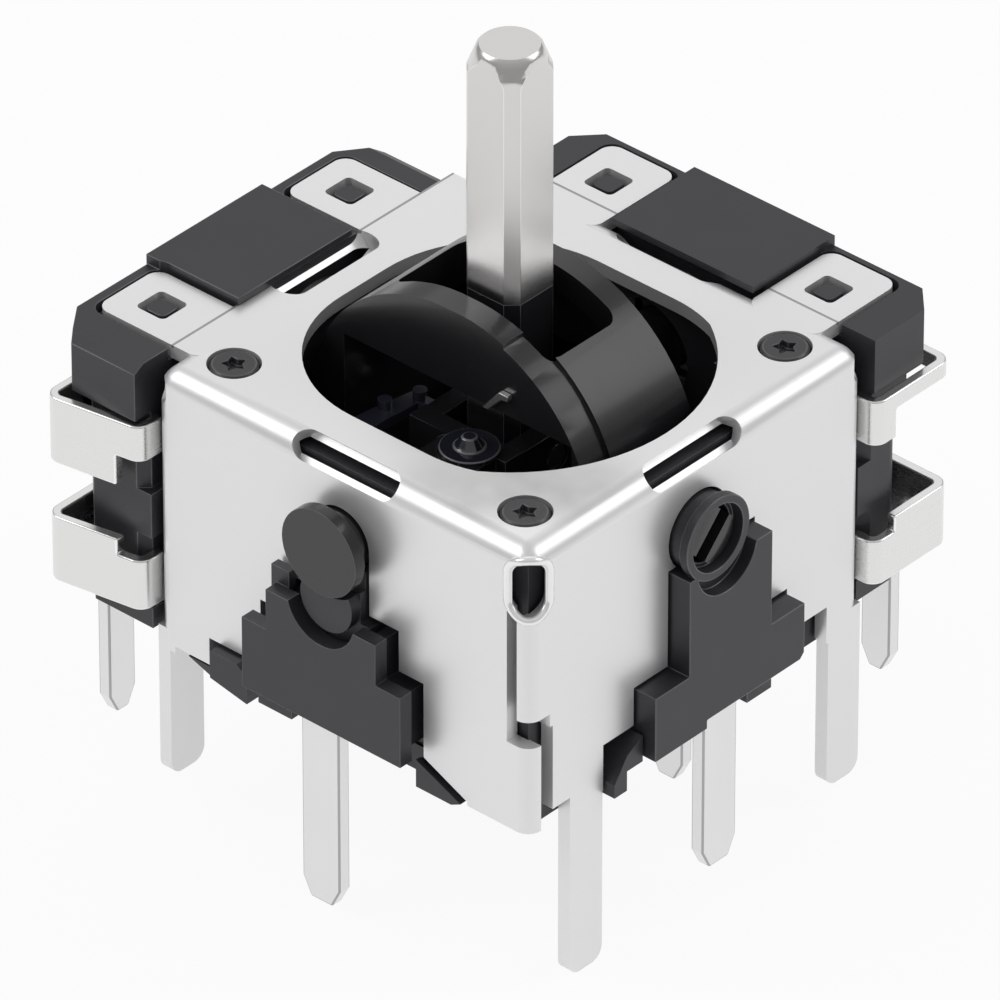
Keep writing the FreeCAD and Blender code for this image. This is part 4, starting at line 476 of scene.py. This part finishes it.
def make_spring():
    """The centring spring: a wire wound from the disc up to the stick's shoulder."""
    box = [Vector(corner) for corner in frame["nodes"]["centring_spring"].bound_box]
    low, high = min(corner.z for corner in box), max(corner.z for corner in box)
    wire, turns, steps_of_turn, steps_of_wire = 0.15 * MM, 5.0, 40, 12
    radius = max(corner.x for corner in box) - wire
    tree = Repeat("spring_coil", Radius=radius, Wire=wire, Turns=turns, Low=low + wire,
                  Height=high - low - 2 * wire)
    path = tree.node("GeometryNodeCurveSpiral", {
        "Resolution": steps_of_turn, "Rotations": tree.given["Turns"],
        "Start Radius": tree.given["Radius"], "End Radius": tree.given["Radius"],
        "Height": tree.given["Height"]})
    lift = tree.node("ShaderNodeCombineXYZ", {2: tree.given["Low"]})
    raised = tree.node("GeometryNodeTransform", {0: path, "Translation": lift})
    section = tree.node("GeometryNodeCurvePrimitiveCircle", {
        "Resolution": steps_of_wire, "Radius": tree.given["Wire"]})
    coil = tree.node("GeometryNodeCurveToMesh", {
        "Curve": raised, "Profile Curve": section, "Fill Caps": True})
    tree.finish(tree.node("GeometryNodeSetShadeSmooth", {0: coil}), FINISH["shaft"])
    piece = tree.bake(new_piece("spring_coil", bpy.data.meshes.new("spring_coil")))
    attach(piece, "stick")
    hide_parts("centring_spring")
    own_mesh(piece)


SCREWS = ["screw_left", "screw_front", "screw_back", "screw_right"]
copies("cover_screws", "screw_front", grid_points, SCREWS, "screw", 0.03)
for side in ("left", "right"):
    row = [f"{side}_terminal_{place}" for place in ("low", "middle", "high")]
    copies(f"{side}_terminals", row[1], row_points, row, "pin", 0.06)
make_spring()


# The cover's front relief hole has a pressed rim that follows the bend of the corner.


def corner_depth(across):
    """Distance of the cover's front corner from the axis, at a distance from its middle."""
    side, bend = 8.0, 0.55
    if abs(across) < bend / math.sqrt(2):
        return (side - bend) * math.sqrt(2) + math.sqrt(bend ** 2 - across ** 2)
    return side * math.sqrt(2) - abs(across)


def relief_rim():
    """A wire round the hole, part sunk in the sheet; its sizes are in millimetres."""
    half, top, low, wire, sunk, steps = 0.66, 10.66, 8.35, 0.15, 0.45, 64
    rim = bpy.data.curves.new("relief_rim", "CURVE")
    rim.dimensions = "3D"
    rim.bevel_depth = wire * MM
    rim.bevel_resolution = 4
    line = rim.splines.new("POLY")
    line.points.add(steps - 1)
    line.use_cyclic_u = True
    for step, point in enumerate(line.points):
        turn = 2 * math.pi * step / steps
        across = half * math.cos(turn)
        middle = top - half if math.sin(turn) >= 0 else low + half
        depth = corner_depth(across) - wire * sunk
        x, y = (depth + across) / math.sqrt(2), (across - depth) / math.sqrt(2)
        point.co = (x * MM, y * MM, (middle + half * math.sin(turn)) * MM, 1.0)
    curve_piece = new_piece("relief_rim_wire", rim)
    mesh = plain_mesh(curve_piece)
    bpy.data.objects.remove(curve_piece)
    mesh.materials.clear()
    # The rim wire takes the cover's lighter edge finish, a painted highlight.
    mesh.materials.append(FINISH["cover_edge_highlight"])
    mesh.shade_smooth()
    solid = new_piece("relief_rim", mesh)
    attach(solid, "module_frame")


relief_rim()


# Floor, light and camera. The floor is where the longest legs end.

WHITE = (1.0, 1.0, 1.0)
FLOOR = -6.3 * MM
FLOOR_REACH = 0.6
PAPER = (0.85, 0.85, 0.85)
PAPER_GLOW = 0.93
WORLD_STRENGTH = 0.55
WORLD_TONES = ((0.0, (0.55, 0.55, 0.55)), (0.75, WHITE))
LAMP_DISTANCE = 0.4
LAMP_AIM = Vector((0, 0, 8 * MM))
# Name, watts, width in metres, azimuth and elevation in degrees.
LAMPS = [
    ("left_box", 0.42, 0.24, -48, 40),
    ("right_box", 0.34, 0.24, 138, 36),
    ("back_box", 0.13, 0.30, -138, 40),
]


def make_floor():
    """Paper that takes the shadow, and that the camera and gloss see as almost white."""
    mesh = bpy.data.meshes.new("floor")
    sides = ((-1, -1), (1, -1), (1, 1), (-1, 1))
    corners = [(x * FLOOR_REACH, y * FLOOR_REACH, FLOOR) for x, y in sides]
    mesh.from_pydata(corners, [], [(0, 1, 2, 3)])
    floor = new_piece("floor", mesh)
    material = bpy.data.materials.new("floor_paper")
    material.use_nodes = True
    material.node_tree.nodes.clear()
    paper = Shading(material.node_tree)
    seen = paper.node("ShaderNodeLightPath", output="Is Camera Ray")
    mirrored = paper.node("ShaderNodeLightPath", output="Is Glossy Ray")
    shadowed = paper.node("ShaderNodeBsdfDiffuse", {"Color": PAPER})
    glow = paper.node("ShaderNodeEmission", {"Color": WHITE})
    share = seen.larger(mirrored) * PAPER_GLOW
    blend = paper.node("ShaderNodeMixShader", {0: share, 1: shadowed, 2: glow})
    paper.end_in("ShaderNodeOutputMaterial", blend)
    mesh.materials.append(material)


def make_world():
    """A white background, and for the light a soft studio that is brighter overhead."""
    world = bpy.data.worlds.new("studio")
    bpy.context.scene.world = world
    world.use_nodes = True
    world.node_tree.nodes.clear()
    sky = Shading(world.node_tree)
    here = sky.node("ShaderNodeTexCoord", output="Generated")
    height = sky.node("ShaderNodeSeparateXYZ", {0: here}, output="Z")
    tone = sky.node("ShaderNodeValToRGB", {0: height}, stops=WORLD_TONES)
    studio = sky.node("ShaderNodeBackground", {"Color": tone, "Strength": WORLD_STRENGTH})
    white = sky.node("ShaderNodeBackground", {"Color": WHITE, "Strength": 1.0})
    seen = sky.node("ShaderNodeLightPath", output="Is Camera Ray")
    blend = sky.node("ShaderNodeMixShader", {0: seen, 1: studio, 2: white})
    sky.end_in("ShaderNodeOutputWorld", blend)


def away_from_part(azimuth, elevation):
    """The direction from the part towards a lamp or the camera, for angles in radians."""
    level = math.cos(elevation)
    return Vector((math.sin(azimuth) * level, -math.cos(azimuth) * level, math.sin(elevation)))


def make_lamp(name, power, size, azimuth, elevation):
    """A soft square lamp that looks at the part."""
    data = bpy.data.lights.new(name, "AREA")
    data.energy = power
    data.size = size
    lamp = new_piece(name, data)
    away = away_from_part(math.radians(azimuth), math.radians(elevation))
    lamp.location = away * LAMP_DISTANCE + LAMP_AIM
    lamp.rotation_mode = "QUATERNION"
    lamp.rotation_quaternion = away.to_track_quat("Z", "Y")


def make_camera():
    """The photograph's camera, fitted to the cover's straight edges; image sizes are in pixels."""
    azimuth, elevation = math.radians(41.80), math.radians(34.01)
    distance, target = 490.8 * MM, Vector((0, 0, 11 * MM))
    image, focal, target_across, target_down = 1000.0, 15441.0, 509.7, 354.8
    back = away_from_part(azimuth, elevation)
    right = Vector((math.cos(azimuth), math.sin(azimuth), 0))
    up = back.cross(right)
    aside, above = (image / 2 - target_across) / focal, (target_down - image / 2) / focal
    aim = -back + right * aside + up * above
    data = bpy.data.cameras.new("camera")
    data.sensor_width = 36.0
    data.lens = focal * 36.0 / image
    camera = new_piece("camera", data)
    camera.location = target + back * distance
    camera.rotation_mode = "QUATERNION"
    camera.rotation_quaternion = aim.to_track_quat("-Z", "Y")
    bpy.context.scene.camera = camera


make_floor()
make_world()
for lamp in LAMPS:
    make_lamp(*lamp)
make_camera()
bpy.context.scene.view_settings.view_transform = "Standard"
